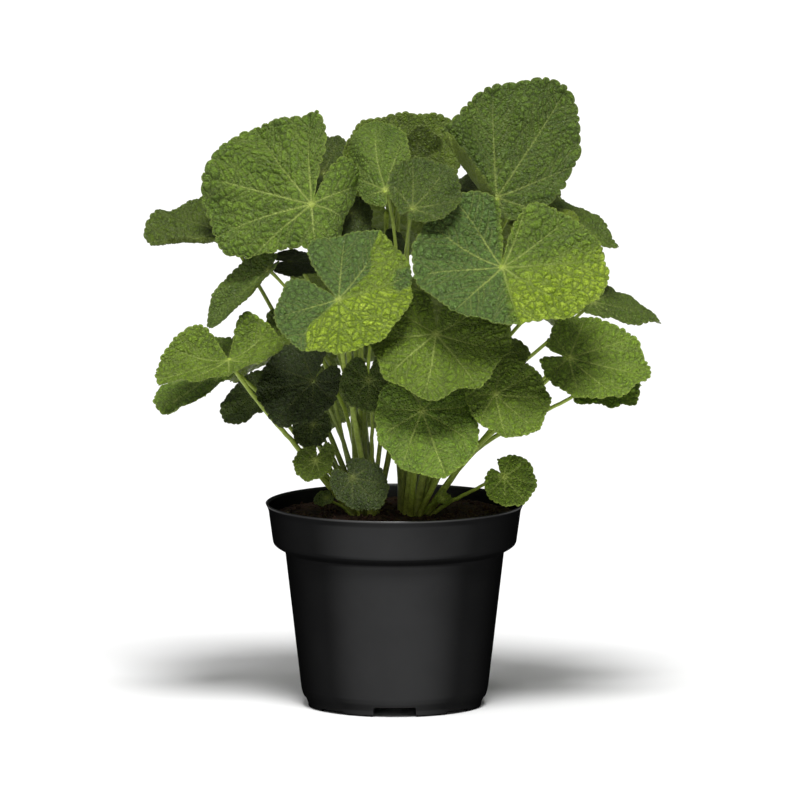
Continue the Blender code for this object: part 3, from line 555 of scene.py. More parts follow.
# ---------------------------------------------------------------- leaf detail
def toothed_outline(leaf, spacing, width, seed):
    """Margin with rounded teeth; they fade out inside the notch."""
    base = leaf_outline(leaf, 900)
    size = float(np.mean(leaf[6]))
    nxt, prv = np.roll(base, -1, axis=0), np.roll(base, 1, axis=0)
    tangent = nxt - prv
    tangent /= np.linalg.norm(tangent, axis=1, keepdims=True)
    outward = np.stack([tangent[:, 1], -tangent[:, 0]], axis=1)
    step = np.linalg.norm(nxt - base, axis=1)
    s = np.concatenate([[0.0], np.cumsum(step)[:-1]])
    total = float(step.sum())
    teeth = max(14, int(round(total / width)))
    rng = np.random.default_rng(seed)
    cuts = (np.arange(teeth) + rng.uniform(-0.27, 0.27, teeth)) * total / teeth
    cuts = np.concatenate([[cuts[-1] - total], cuts, [cuts[0] + total]])
    heights = rng.uniform(0.6, 1.25, teeth + 2)
    k = np.clip(np.searchsorted(cuts, s, side="right") - 1, 0, teeth)
    f = (s - cuts[k]) / (cuts[k + 1] - cuts[k])
    tooth = np.sqrt(np.clip(1.0 - (2.0 * f - 1.0) ** 2, 0.0, 1.0)) * heights[k]
    r = np.linalg.norm(base, axis=1)
    fade = smoothstep(0.10, 0.85, s / (0.55 * size)) * smoothstep(0.10, 0.85, (total - s) / (0.55 * size))
    depth = TOOTH_SHARE * width
    lobes = 1.3 * depth * (noise2(s / (2.7 * width) + seed, s * 0.0, seed) - 0.5)
    offset = ((tooth - 0.75) * depth + lobes) * fade
    fine = base + outward * offset[:, None]
    step = np.linalg.norm(np.roll(fine, -1, axis=0) - fine, axis=1)
    s = np.concatenate([[0.0], np.cumsum(step)])
    count = int(s[-1] / spacing)
    at = np.linspace(0.0, s[-1], count, endpoint=False)
    closed = np.concatenate([fine, fine[:1]])
    return np.stack([np.interp(at, s, closed[:, 0]), np.interp(at, s, closed[:, 1])], axis=1)


def inside_polygon(points, polygon):
    x, y = points[:, 0], points[:, 1]
    inside = np.zeros(len(points), bool)
    a, b = polygon, np.roll(polygon, -1, axis=0)
    for (x0, y0), (x1, y1) in zip(a, b):
        if y0 == y1:
            continue
        crosses = ((y0 > y) != (y1 > y)) & (x < (x1 - x0) * (y - y0) / (y1 - y0) + x0)
        inside ^= crosses
    return inside


def nearest(points, targets, chunk=4000):
    """Distance to, and index of, the nearest target."""
    best = np.empty(len(points)); which = np.empty(len(points), int)
    t = targets.astype(np.float32)
    t2 = (t * t).sum(1)
    for i in range(0, len(points), chunk):
        p = points[i:i + chunk].astype(np.float32)
        d = (p * p).sum(1)[:, None] + t2[None, :] - 2.0 * p @ t.T
        j = d.argmin(axis=1)
        which[i:i + chunk] = j
        best[i:i + chunk] = np.sqrt(np.maximum(d[np.arange(len(p)), j], 0.0))
    return best, which


def vein_fan(name):
    usual = [-a for a in VEIN_ANGLES if a] + list(VEIN_ANGLES)
    return sorted(VEIN_FANS.get(name, usual))


def vein_lines(leaf, seed):
    """Main veins fan out from the hub; side veins leave them and curve to the margin."""
    reach = leaf[6]
    size = float(np.mean(reach))
    rng = np.random.default_rng(seed + 7)
    angles = vein_fan(leaf[0])
    if leaf[0] not in VEIN_FANS:
        angles = [a + rng.uniform(-4.0, 4.0) for a in angles]
    mains, main_w, sides, side_w = [], [], [], []
    for i, a0 in enumerate(angles):
        length = 0.95 * float(smooth_reach(reach, np.array([a0]))[0])
        sway = rng.uniform(-5.0, 5.0)
        n = max(12, int(length / 0.7))
        t = np.linspace(0.0, 1.0, n)
        a = np.radians(a0 + sway * t * t)
        line = np.stack([np.cos(a), np.sin(a)], axis=1) * (length * t)[:, None]
        mains.append(line)
        main_w.append((1.05 - 0.85 * t) * (0.45 + 0.011 * size) * (1.0 if abs(a0) < 90 else 0.8))
        gap_low = (a0 - angles[i - 1]) / 2 if i else 22.0
        gap_high = (angles[i + 1] - a0) / 2 if i + 1 < len(angles) else 22.0
        first, pitch = 0.20 * length, max(4.2, 0.115 * size)
        count = int((0.94 * length - first) / pitch)
        for side in (-1, 1):
            half = gap_low if side < 0 else gap_high
            for j in range(count):
                s = first + (j + (0.5 if side > 0 else 0.0) + rng.uniform(-0.18, 0.18)) * pitch
                if s > 0.95 * length:
                    continue
                leave = math.radians(48.0 + rng.uniform(-5.0, 5.0))
                alpha = math.radians(half)
                room = s * math.sin(alpha) / max(0.12, math.sin(leave - min(alpha, leave - 0.15)))
                run = min(room * 1.02, 0.55 * size)
                m = max(4, int(run / 0.8))
                q = np.linspace(0.0, 1.0, m)
                head = a[min(n - 1, int(s / length * (n - 1)))]
                turn = head + side * (leave - 0.42 * q)
                steps = run / (m - 1) * np.stack([np.cos(turn), np.sin(turn)], axis=1)
                start = np.array([math.cos(head), math.sin(head)]) * s
                path = start + np.concatenate([[[0.0, 0.0]], np.cumsum(steps[:-1], axis=0)])
                rr = np.linalg.norm(path, axis=1)
                limit = 0.97 * smooth_reach(reach, np.degrees(np.arctan2(path[:, 1], path[:, 0])))
                keep = rr < limit
                if not keep.all():
                    keep[int(np.argmin(keep)):] = False
                path = path[keep]
                if len(path) > 2:
                    sides.append(path)
                    side_w.append((1.0 - 0.7 * q[: len(path)]) * (0.26 + 0.0045 * size) * (1.0 - 0.4 * s / length))
    return np.concatenate(mains), np.concatenate(main_w), np.concatenate(sides), np.concatenate(side_w)


def hex_points(low, high, spacing, rng, jitter):
    rows = int((high[1] - low[1]) / (spacing * 0.866)) + 2
    cols = int((high[0] - low[0]) / spacing) + 2
    j, i = np.meshgrid(np.arange(rows), np.arange(cols), indexing="ij")
    x = low[0] + (i + 0.5 * (j % 2)) * spacing
    y = low[1] + j * spacing * 0.866
    points = np.stack([x.ravel(), y.ravel()], axis=1)
    return points + rng.uniform(-jitter, jitter, points.shape) * spacing


def cell_border_distance(points, seeds, chunk=3000):
    """Distance to the border between the two nearest seeds."""
    out = np.empty(len(points))
    s = seeds.astype(np.float32)
    s2 = (s * s).sum(1)
    for i in range(0, len(points), chunk):
        p = points[i:i + chunk].astype(np.float32)
        d = (p * p).sum(1)[:, None] + s2[None, :] - 2.0 * p @ s.T
        near = np.argpartition(d, 2, axis=1)[:, :2]
        d1 = np.take_along_axis(d, near, axis=1)
        order = np.argsort(d1, axis=1)
        near = np.take_along_axis(near, order, axis=1)
        d1 = np.take_along_axis(d1, order, axis=1)
        apart = np.linalg.norm(s[near[:, 0]] - s[near[:, 1]], axis=1)
        out[i:i + chunk] = (d1[:, 1] - d1[:, 0]) / (2.0 * np.maximum(apart, 1e-3))
    return out


def leaf_fields(leaf, flat, quilt, seed):
    """Relief height and the masks that colour the leaf, at flat blade points."""
    size = float(np.mean(leaf[6]))
    rng = np.random.default_rng(seed + 31)
    mains, main_w, sides, side_w = vein_lines(leaf, seed)
    dm, im = nearest(flat, mains)
    ds, js = nearest(flat, sides)
    wm, ws = main_w[im], side_w[js]
    low, high = flat.min(0) - 6.0, flat.max(0) + 6.0
    wander = lambda p, scale, salt: noise2(p[:, 0] / scale, p[:, 1] / scale, salt + seed) - 0.5
    bent = flat + np.stack([wander(flat, 6.0, 3.0), wander(flat, 6.0, 9.0)], axis=1) * 4.0
    r = np.hypot(flat[:, 0], flat[:, 1]) / size
    spacing = float(np.clip(0.075 * size + 1.2, 2.8, 5.4))
    seeds = hex_points(low, high, spacing, rng, 0.34)
    sd_m, _ = nearest(seeds, mains)
    sd_s, _ = nearest(seeds, sides)
    seeds = seeds[(sd_m > 0.30 * spacing) & (sd_s > 0.26 * spacing)]
    dc = np.maximum(cell_border_distance(bent, seeds), 0.0)
    border = np.minimum(np.minimum(dc, ds), dm)
    puff = 1.0 - (1.0 - np.clip(border / (0.46 * spacing), 0.0, 1.0)) ** 2
    small = max(1.9, 0.50 * spacing)
    dots = hex_points(low, high, small, rng, 0.36)
    db = np.maximum(cell_border_distance(bent, dots), 0.0)
    knob = 1.0 - (1.0 - np.clip(np.minimum(db, border) / (0.45 * small), 0.0, 1.0)) ** 2
    rough = 0.55 + 0.9 * noise2(flat[:, 0] / (3.1 * spacing), flat[:, 1] / (3.1 * spacing), 5.0 + seed)
    reach_in = smoothstep(0.02, 0.55, r) * 0.75 + 0.25
    bubbles = quilt * rough * reach_in * (0.27 * spacing * puff + 0.20 * small * knob)
    cell = 0.62 * puff + 0.38 * knob
    major = np.minimum(dm, ds * 1.15 + 0.25)
    pillow = 1.25 * quilt * min(1.0, size / 45.0) * (1.0 - np.exp(-((major / (0.055 * size + 1.6)) ** 2)))
    valley = -0.50 * min(1.0, size / 40.0) * np.exp(-((dm / (1.8 + 0.02 * size)) ** 2))
    ridge = 0.42 * wm * np.exp(-((dm / (0.75 * wm + 0.12)) ** 2))
    calm = np.ones(len(flat))
    for direction, offset, angle, width in leaf[9]:
        if abs(angle) >= 90:
            s = flat[:, 0] * math.cos(rad(direction)) + flat[:, 1] * math.sin(rad(direction)) - offset
            calm *= 1.0 - 0.65 * smoothstep(-2.0, 5.0, s)
    height = calm * (bubbles + pillow) + valley + ridge
    height -= float(np.mean(calm * (bubbles + pillow))) * smoothstep(0.0, 0.25, r)
    vein = np.clip(np.exp(-((dm / (0.62 * wm + 0.08)) ** 2)) + 0.42 * np.exp(-((ds / (0.85 * ws + 0.16)) ** 2)), 0.0, 1.0)
    veinlet = np.exp(-((np.minimum(dc, ds) / 0.38) ** 2))
    return height, vein, veinlet, cell


def big_waves(leaf, flat, seed):
    """Slow waves: the web between two main veins arches, and the margin ripples."""
    size = float(np.mean(leaf[6]))
    r = np.hypot(flat[:, 0], flat[:, 1]) / size
    phi = np.degrees(np.arctan2(flat[:, 1], flat[:, 0]))
    veins = np.array([-172.0] + vein_fan(leaf[0]) + [172.0])
    k = np.clip(np.searchsorted(veins, phi) - 1, 0, len(veins) - 2)
    f = np.clip((phi - veins[k]) / (veins[k + 1] - veins[k]), 0.0, 1.0)
    arch = 0.030 * size * np.sin(math.pi * f) ** 0.9 * np.clip(r, 0.0, 1.2) * smoothstep(0.0, 0.3, r)
    p = seed * 1.7
    ripple = 0.014 * size * np.clip(r, 0.0, 1.3) ** 4 * (np.cos(np.radians(phi) * 9.0 + p) + 0.7 * np.cos(np.radians(phi) * 15.0 + 2.1 * p))
    return arch + ripple


def patch_mask(name, flat, seed):
    """Where the blade is bleached yellow green (0 to 1), and where it is bluish."""
    u, v = flat[:, 0], flat[:, 1]
    r = np.hypot(u, v)
    wobble = (noise2(u / 6.0, v / 6.0, 21.0) - 0.5) * 6.0
    blotch = noise2(u / 8.0, v / 8.0, 33.0)
    yellow = np.zeros(len(flat)); blue = np.zeros(len(flat))
    a = np.degrees(np.arctan2(v, u))
    if name == "leaf_right_large":
        line = 5.0 * smoothstep(0.0, 30.0, r)
        right = smoothstep(-0.5, 0.9, np.sin(np.radians(a - line)) * r) * smoothstep(-40.0, -20.0, -np.abs(a - 90.0) + 90.0)
        glow = smoothstep(-22.0, 20.0, u + 0.35 * v - 18.0 + wobble)
        yellow = right * (0.10 + 0.90 * glow) * (0.8 + 0.3 * blotch)
        blue = (1.0 - smoothstep(-3.0, 1.0, v))
    if name == "leaf_left_large":
        border = -88.0 + 16.0 * smoothstep(28.0, 50.0, r)
        edge = smoothstep(-0.6, 0.9, np.sin(np.radians(a - border)) * r) * (a > -170.0)
        lower = 1.0 - smoothstep(48.0, 76.0, a)
        yellow = edge * (0.50 + 0.50 * lower) * (0.75 + 0.35 * blotch)
        yellow *= 1.0 - 0.75 * smoothstep(128.0, 150.0, a + wobble) * smoothstep(22.0, 40.0, r)
        far = np.hypot((u - 21.0) / 0.8, (v - 46.0) / 1.1)
        spot = 1.0 - smoothstep(8.0, 14.0, far + wobble * 0.7)
        yellow *= 1.0 - spot
        blue = (1.0 - edge) + spot
    return np.clip(yellow, 0.0, 1.0), np.clip(blue, 0.0, 1.0)


def blade_world(leaf, flat, lift, waves):
    """World positions in mm, with the waves added under the lift and the hub kept in place."""
    hub, az, el, turn, reach, cup, bends = leaf[2], leaf[3], leaf[4], leaf[5], leaf[6], leaf[8], leaf[9]
    size = float(np.mean(reach))
    r = np.hypot(flat[:, 0], flat[:, 1]) / size
    phi = np.arctan2(flat[:, 1], flat[:, 0])
    w = cup * size * r * r + 0.030 * size * np.clip(r, 0, 1.4) ** 3 * np.cos(5.0 * phi + hub[0])
    points = np.stack([flat[:, 0], flat[:, 1], w + waves + lift], axis=1)
    for direction, offset, angle, width in bends:
        points = bend(points, direction, offset, angle, width)
    midrib, side, normal = leaf_axes(az, el, turn)
    return np.array(hub, float) + points[:, :1] * midrib + points[:, 1:2] * side + points[:, 2:3] * normal


def fine_stalk(leaf, seed):
    """A tapering, faintly ribbed stalk from inside the compost up into the hub."""
    base_r, top_r = stalk_radius(leaf)
    path = stalk_path(leaf, STALK_STATIONS_FINE + 1)
    bury = path[:1] - np.array([[0.0, 0.0, STALK_BURIED]])
    path = np.concatenate([bury, path])
    n = len(path)
    length = np.concatenate([[0.0], np.cumsum(np.linalg.norm(np.diff(path, axis=0), axis=1))])
    share = length / length[-1]
    rng = np.random.default_rng(seed + 99)
    across = np.cumsum(rng.normal(0.0, 0.22, (n, 3)), axis=0)
    across -= across[0] + (across[-1] - across[0]) * share[:, None]
    path = path + across * np.sin(math.pi * share)[:, None]
    tangents = np.gradient(path, axis=0)
    tangents /= np.linalg.norm(tangents, axis=1, keepdims=True)
    guide = np.cross(tangents[0], [0.31, 0.9, 0.2])
    guide /= np.linalg.norm(guide)
    points, faces, along = [], [], []
    for i in range(n):
        guide = guide - tangents[i] * float(guide @ tangents[i])
        guide /= np.linalg.norm(guide)
        other = np.cross(tangents[i], guide)
        radius = base_r + (top_r - base_r) * (1.0 - (1.0 - share[i]) ** 1.6)
        if share[i] > 0.93:
            radius *= 1.0 + 0.5 * ((share[i] - 0.93) / 0.07) ** 2
        if share[i] < 0.10:
            radius *= 1.0 + 0.25 * (1.0 - share[i] / 0.10)
        for k in range(STALK_SIDES_FINE):
            a = 2 * math.pi * k / STALK_SIDES_FINE
            rib = 1.0 + 0.05 * math.cos(4 * a + seed) + 0.03 * math.cos(7 * a)
            points.append(path[i] + (guide * math.cos(a) + other * math.sin(a)) * radius * rib)
            along.append(share[i])
    for i in range(n - 1):
        for k in range(STALK_SIDES_FINE):
            m = (k + 1) % STALK_SIDES_FINE
            a, b = i * STALK_SIDES_FINE, (i + 1) * STALK_SIDES_FINE
            faces.append((a + k, a + m, b + m, b + k))
    points.append(path[0]); along.append(0.0)
    points.append(path[-1]); along.append(1.0)
    for k in range(STALK_SIDES_FINE):
        m = (k + 1) % STALK_SIDES_FINE
        faces.append((len(points) - 2, m, k))
        top = (n - 1) * STALK_SIDES_FINE
        faces.append((len(points) - 1, top + k, top + m))
    return np.array(points), faces, np.array(along)


def set_attribute(mesh, name, kind, values):
    attribute = mesh.attributes.new(name, kind, "POINT")
    key = "vector" if kind == "FLOAT_VECTOR" else "value"
    attribute.data.foreach_set(key, np.asarray(values, np.float32).ravel())


def build_leaf(index, leaf, leaf_material, stalk_material):
    name = leaf[0]
    spacing, tone_and_painted_light, warm, quilt, tooth = LOOKS.get(name, BACK_LOOK)
    seed = index + 1
    rng = np.random.default_rng(seed)
    rim = toothed_outline(leaf, 0.66 * spacing, tooth, seed)
    grid = hex_points(rim.min(0), rim.max(0), spacing, rng, 0.08)
    grid = grid[inside_polygon(grid, rim)]
    gap, _ = nearest(grid, rim)
    grid = grid[gap > 0.55 * spacing]
    coords = [Vector((float(x), float(y))) for x, y in np.concatenate([rim, grid])]
    result = delaunay_2d_cdt(coords, [], [list(range(len(rim)))], 1, 1e-5)
    flat = np.array([[v.x, v.y] for v in result[0]])
    tris = np.array([f for f in result[2] if len(f) == 3], int)
    a, b, c = flat[tris[:, 0]], flat[tris[:, 1]], flat[tris[:, 2]]
    area = (b[:, 0] - a[:, 0]) * (c[:, 1] - a[:, 1]) - (b[:, 1] - a[:, 1]) * (c[:, 0] - a[:, 0])
    tris[area < 0] = tris[area < 0][:, ::-1]
    used = np.unique(tris)
    remap = -np.ones(len(flat), int)
    remap[used] = np.arange(len(used))
    flat, tris = flat[used], remap[tris]
    edges = np.concatenate([tris[:, [0, 1]], tris[:, [1, 2]], tris[:, [2, 0]]])
    keys = {(int(p), int(q)) for p, q in edges}
    boundary = [(p, q) for p, q in keys if (q, p) not in keys]
    margin, _ = nearest(flat, rim)
    height, vein, veinlet, cell = leaf_fields(leaf, flat, quilt, seed)
    size = float(np.mean(leaf[6]))
    soft = smoothstep(0.0, 2.4, margin)
    height = height * (0.45 + 0.55 * soft)
    waves = big_waves(leaf, flat, seed)
    hub_gap = np.hypot(flat[:, 0], flat[:, 1])
    half = LEAF_THICKNESS / 2 * (0.45 + 0.55 * smoothstep(0.0, 1.6, margin))
    top = blade_world(leaf, flat, height + half, waves)
    under_height = height - 0.25 * np.exp(-((hub_gap / 5.0) ** 2)) - 0.55 * vein
    under = blade_world(leaf, flat, under_height - half, waves)
    n = len(flat)
    stalk, stalk_faces, along = fine_stalk(leaf, seed)
    points = np.concatenate([top, under, stalk])
    faces = [tuple(t) for t in tris.tolist()]
    faces += [(t[2] + n, t[1] + n, t[0] + n) for t in tris.tolist()]
    faces += [(q, p, p + n, q + n) for p, q in boundary]
    blade_faces = len(faces)
    faces += [tuple(i + 2 * n for i in f) for f in stalk_faces]
    mesh = bpy.data.meshes.new("look_" + name)
    mesh.from_pydata((points * MM).tolist(), [], faces)
    zeros, m = np.zeros(len(stalk)), len(stalk)
    yellow, blue = patch_mask(name, flat, seed)
    edge = np.exp(-((margin / 0.75) ** 2))
    two = lambda v: np.concatenate([v, v, zeros])
    set_attribute(mesh, "vein", "FLOAT", two(vein))
    set_attribute(mesh, "veinlet", "FLOAT", two(veinlet))
    set_attribute(mesh, "cell", "FLOAT", two(cell))
    set_attribute(mesh, "edge", "FLOAT", two(edge))
    set_attribute(mesh, "yellow", "FLOAT", two(yellow))
    set_attribute(mesh, "blue", "FLOAT", np.concatenate([blue, blue, zeros]))
    set_attribute(mesh, "under", "FLOAT", np.concatenate([np.zeros(n), np.ones(n), zeros]))
    hub_glow = np.exp(-((hub_gap / 2.6) ** 2))
    set_attribute(mesh, "hub", "FLOAT", two(hub_glow))
    set_attribute(mesh, "tone_and_painted_light", "FLOAT", np.full(2 * n + m, tone_and_painted_light))
    set_attribute(mesh, "warm", "FLOAT", np.full(2 * n + m, warm))
    set_attribute(mesh, "along", "FLOAT", np.concatenate([np.ones(2 * n), along]))
    ring = np.arange(m) % STALK_SIDES_FINE
    spot = np.concatenate([
        np.concatenate([flat, np.full((n, 1), 40.0 * seed)], axis=1),
        np.concatenate([flat, np.full((n, 1), 40.0 * seed + 15.0)], axis=1),
        np.stack([along * 220.0, np.cos(ring * 0.5236) * 2.0, np.sin(ring * 0.5236) * 2.0 + 40.0 * seed], axis=1),
    ])
    set_attribute(mesh, "spot", "FLOAT_VECTOR", spot)
    mesh.materials.append(leaf_material)
    mesh.materials.append(stalk_material)
    material_index = np.zeros(len(faces), np.int32)
    material_index[blade_faces:] = 1
    mesh.polygons.foreach_set("material_index", material_index)
    # one layout for baking: upper face on the left, underside on the right, stalk along the top
    low, high = flat.min(0), flat.max(0)
    span = float((high - low).max())
    place = (flat - low) / span
    uv_top = np.stack([0.01 + place[:, 0] * 0.48, 0.01 + place[:, 1] * 0.48], axis=1)
    uv_under = uv_top + np.array([0.50, 0.0])
    uv_stalk = np.stack([0.02 + 0.96 * along, 0.60 + 0.30 * ring / STALK_SIDES_FINE], axis=1)
    uv = np.concatenate([uv_top, uv_under, uv_stalk])
    layer = mesh.uv_layers.new(name="OFBake")
    loops = np.empty(len(mesh.loops), np.int32)
    mesh.loops.foreach_get("vertex_index", loops)
    coords = uv[loops]
    start = sum(len(f) for f in faces[:blade_faces])
    strip = coords[start:]
    quads = [f for f in stalk_faces if len(f) == 4]
    wrap = np.array([[f[0] % STALK_SIDES_FINE > f[1] % STALK_SIDES_FINE] * 4 for f in quads]).ravel()
    fix = np.zeros(len(strip), bool)
    fix[: len(wrap)] = wrap
    last = ring[loops[start:] - 2 * n] == 0
    strip[fix & last, 1] += 0.30
    coords[start:] = strip
    layer.data.foreach_set("uv", coords.astype(np.float32).ravel())
    mesh.validate()
    mesh.shade_smooth()
    obj = bpy.data.objects.new("look_" + name, mesh)
    bpy.context.scene.collection.objects.link(obj)
    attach(obj, "root")
    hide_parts(name)
    return obj


# ---------------------------------------------------------------- materials
class Nodes:
    """Short calls for building a node tree."""

    def __init__(self, name):
        self.material = bpy.data.materials.new(name)
        self.material.use_nodes = True
        self.tree = self.material.node_tree
        self.shader = self.tree.nodes["Principled BSDF"]

    def put(self, socket, value):
        if isinstance(value, bpy.types.NodeSocket):
            self.tree.links.new(value, socket)
        elif isinstance(value, (tuple, list)) and len(value) == 3 and socket.type == "RGBA":
            socket.default_value = (*value, 1.0)
        else:
            socket.default_value = value

    def attribute(self, name, output="Fac"):
        node = self.tree.nodes.new("ShaderNodeAttribute")
        node.attribute_name = name
        return node.outputs[output]

    def noise(self, vector, scale, detail=3.0, rough=0.55, distort=0.0):
        node = self.tree.nodes.new("ShaderNodeTexNoise")
        self.put(node.inputs["Vector"], vector)
        node.inputs["Scale"].default_value = scale
        node.inputs["Detail"].default_value = detail
        node.inputs["Roughness"].default_value = rough
        node.inputs["Distortion"].default_value = distort
        return node.outputs["Fac"]

    def voronoi(self, vector, scale, feature="F1", smooth=None):
        node = self.tree.nodes.new("ShaderNodeTexVoronoi")
        node.feature = feature
        self.put(node.inputs["Vector"], vector)
        node.inputs["Scale"].default_value = scale
        return node.outputs["Distance"]

    def math(self, operation, a, b=0.0, c=None):
        node = self.tree.nodes.new("ShaderNodeMath")
        node.operation = operation
        self.put(node.inputs[0], a)
        self.put(node.inputs[1], b)
        if c is not None:
            self.put(node.inputs[2], c)
        return node.outputs[0]

    def span(self, value, low, high, to_low=0.0, to_high=1.0):
        node = self.tree.nodes.new("ShaderNodeMapRange")
        node.interpolation_type = "SMOOTHSTEP"
        self.put(node.inputs["Value"], value)
        for key, number in (("From Min", low), ("From Max", high), ("To Min", to_low), ("To Max", to_high)):
            node.inputs[key].default_value = number
        return node.outputs["Result"]

    def mix(self, factor, a, b, blend="MIX"):
        node = self.tree.nodes.new("ShaderNodeMix")
        node.data_type = "RGBA"
        node.blend_type = blend
        self.put(node.inputs["Factor"], factor)
        self.put(node.inputs["A"] if False else node.inputs[6], a)
        self.put(node.inputs[7], b)
        return node.outputs[2]

    def grey(self, value):
        node = self.tree.nodes.new("ShaderNodeCombineColor")
        for i in range(3):
            self.put(node.inputs[i], value)
        return node.outputs[0]

    def bump(self, height, strength, distance, normal=None):
        node = self.tree.nodes.new("ShaderNodeBump")
        node.inputs["Strength"].default_value = strength
        node.inputs["Distance"].default_value = distance
        self.put(node.inputs["Height"], height)
        if normal is not None:
            self.put(node.inputs["Normal"], normal)
        return node.outputs["Normal"]


def leaf_look():
    k = Nodes("hollyhock_leaf")
    spot = k.attribute("spot", "Vector")
    vein, veinlet, cell, hub = k.attribute("vein"), k.attribute("veinlet"), k.attribute("cell"), k.attribute("hub")
    edge, yellow, blue, under = k.attribute("edge"), k.attribute("yellow"), k.attribute("blue"), k.attribute("under")
    tone_and_painted_light, warm = k.attribute("tone_and_painted_light"), k.attribute("warm")
    broad = k.noise(spot, 0.045, 3.0)
    patchy = k.noise(spot, 0.16, 4.0, 0.6)
    fine = k.noise(spot, 0.9, 4.0, 0.65)
    # crinkles between the smallest veins, in two sizes; the coarse net also darkens the colour along its creases as
    # painted shade
    drift = k.tree.nodes.new("ShaderNodeTexNoise")
    k.put(drift.inputs["Vector"], spot)
    drift.inputs["Scale"].default_value = 0.35
    warped = k.tree.nodes.new("ShaderNodeVectorMath")
    warped.operation = "MULTIPLY_ADD"
    k.put(warped.inputs[0], drift.outputs["Color"])
    warped.inputs[1].default_value = (2.6, 2.6, 2.6)
    k.put(warped.inputs[2], spot)
    coarse_net = k.span(k.voronoi(warped.outputs[0], 0.42, "DISTANCE_TO_EDGE"), 0.0, 0.42)
    fine_net = k.span(k.voronoi(warped.outputs[0], 0.95, "DISTANCE_TO_EDGE"), 0.0, 0.40)
    green = k.mix(k.span(broad, 0.3, 0.7), (0.090, 0.160, 0.013), (0.136, 0.222, 0.019))
    green = k.mix(k.span(patchy, 0.35, 0.75, 0.0, 0.5), green, (0.162, 0.252, 0.026))
    green = k.mix(k.span(warm, 0.0, 1.0, 0.0, 0.8), green, (0.190, 0.258, 0.006))
    cool = k.math("MAXIMUM", k.span(warm, 0.0, -1.0), k.math("MULTIPLY", blue, 0.70))
    green = k.mix(cool, green, (0.094, 0.172, 0.038))
    bleached = k.mix(k.span(patchy, 0.35, 0.7), (0.250, 0.370, 0.010), (0.380, 0.510, 0.045))
    green = k.mix(yellow, green, bleached)
    # painted shade and light: the colour darkens in the grooves between the puffs and lightens on their domes
    painted_groove_shade = k.math("MULTIPLY_ADD", cell, 1.05, 0.28)
    green = k.mix(1.0, green, k.grey(painted_groove_shade), "MULTIPLY")
    # painted shade: the colour darkens along the creases of the coarse crinkle net
    painted_crease_shade = k.math("MULTIPLY_ADD", coarse_net, 0.34, 0.78)
    green = k.mix(1.0, green, k.grey(painted_crease_shade), "MULTIPLY")
    green = k.mix(1.0, green, k.grey(k.span(fine, 0.25, 0.75, 0.86, 1.14)), "MULTIPLY")
    pale = k.mix(yellow, (0.330, 0.410, 0.090), (0.120, 0.185, 0.016))
    green = k.mix(k.math("MULTIPLY", veinlet, k.span(yellow, 0.0, 1.0, 0.10, 0.62)), green, pale)
    green = k.mix(k.math("MULTIPLY", vein, 0.90), green, pale)
    green = k.mix(k.math("MULTIPLY", edge, 0.50), green, (0.270, 0.350, 0.055))
    green = k.mix(k.math("MULTIPLY", hub, 0.75), green, (0.420, 0.500, 0.100))
    back = k.mix(k.math("MULTIPLY", vein, 0.7), (0.235, 0.325, 0.040), (0.360, 0.440, 0.110))
    back = k.mix(1.0, back, k.grey(k.span(fine, 0.25, 0.75, 0.9, 1.1)), "MULTIPLY")
    # painted shade on the underside: darker along the creases of the coarse crinkle net
    back = k.mix(1.0, back, k.grey(k.math("MULTIPLY_ADD", coarse_net, 0.2, 0.82)), "MULTIPLY")
    colour = k.mix(under, green, back)
    # painted light and shade: each leaf's colour is scaled by its tone, darker for leaves in shade and lighter for
    # leaves shadowed by others
    colour = k.mix(1.0, colour, k.grey(tone_and_painted_light), "MULTIPLY")
    k.put(k.shader.inputs["Base Color"], colour)
    rough = k.span(k.noise(spot, 0.8, 3.0), 0.3, 0.7, 0.36, 0.52)
    k.put(k.shader.inputs["Roughness"], rough)
    k.shader.inputs["Specular IOR Level"].default_value = 0.36
    height = k.math("ADD", k.math("MULTIPLY", coarse_net, 1.0), k.math("MULTIPLY", fine_net, 0.42))
    height = k.math("ADD", height, k.math("MULTIPLY", fine, 0.55))
    k.put(k.shader.inputs["Normal"], k.bump(height, 1.0, 0.0008))
    return k.material


def stalk_look():
    k = Nodes("hollyhock_stalk")
    spot = k.attribute("spot", "Vector")
    along, tone_and_painted_light = k.attribute("along"), k.attribute("tone_and_painted_light")
    streak = k.noise(spot, 0.35, 3.0, 0.6, 0.6)
    fine = k.noise(spot, 2.2, 3.0)
    green = k.mix(k.span(streak, 0.3, 0.7), (0.200, 0.275, 0.024), (0.320, 0.410, 0.055))
    foot = k.mix(k.span(streak, 0.3, 0.7), (0.150, 0.175, 0.018), (0.270, 0.300, 0.045))
    colour = k.mix(k.span(along, 0.0, 0.30), foot, green)
    colour = k.mix(1.0, colour, k.grey(k.span(fine, 0.3, 0.7, 0.88, 1.1)), "MULTIPLY")
    # painted light and shade: the stalk is darkened or lightened with its leaf's tone
    lift = k.span(tone_and_painted_light, 0.2, 1.0, 0.60, 1.10)
    colour = k.mix(1.0, colour, k.grey(lift), "MULTIPLY")
    k.put(k.shader.inputs["Base Color"], colour)
    k.put(k.shader.inputs["Roughness"], k.span(fine, 0.3, 0.7, 0.42, 0.58))
    k.put(k.shader.inputs["Normal"], k.bump(k.math("ADD", fine, k.math("MULTIPLY", streak, 0.5)), 0.4, 0.0003))
    return k.material


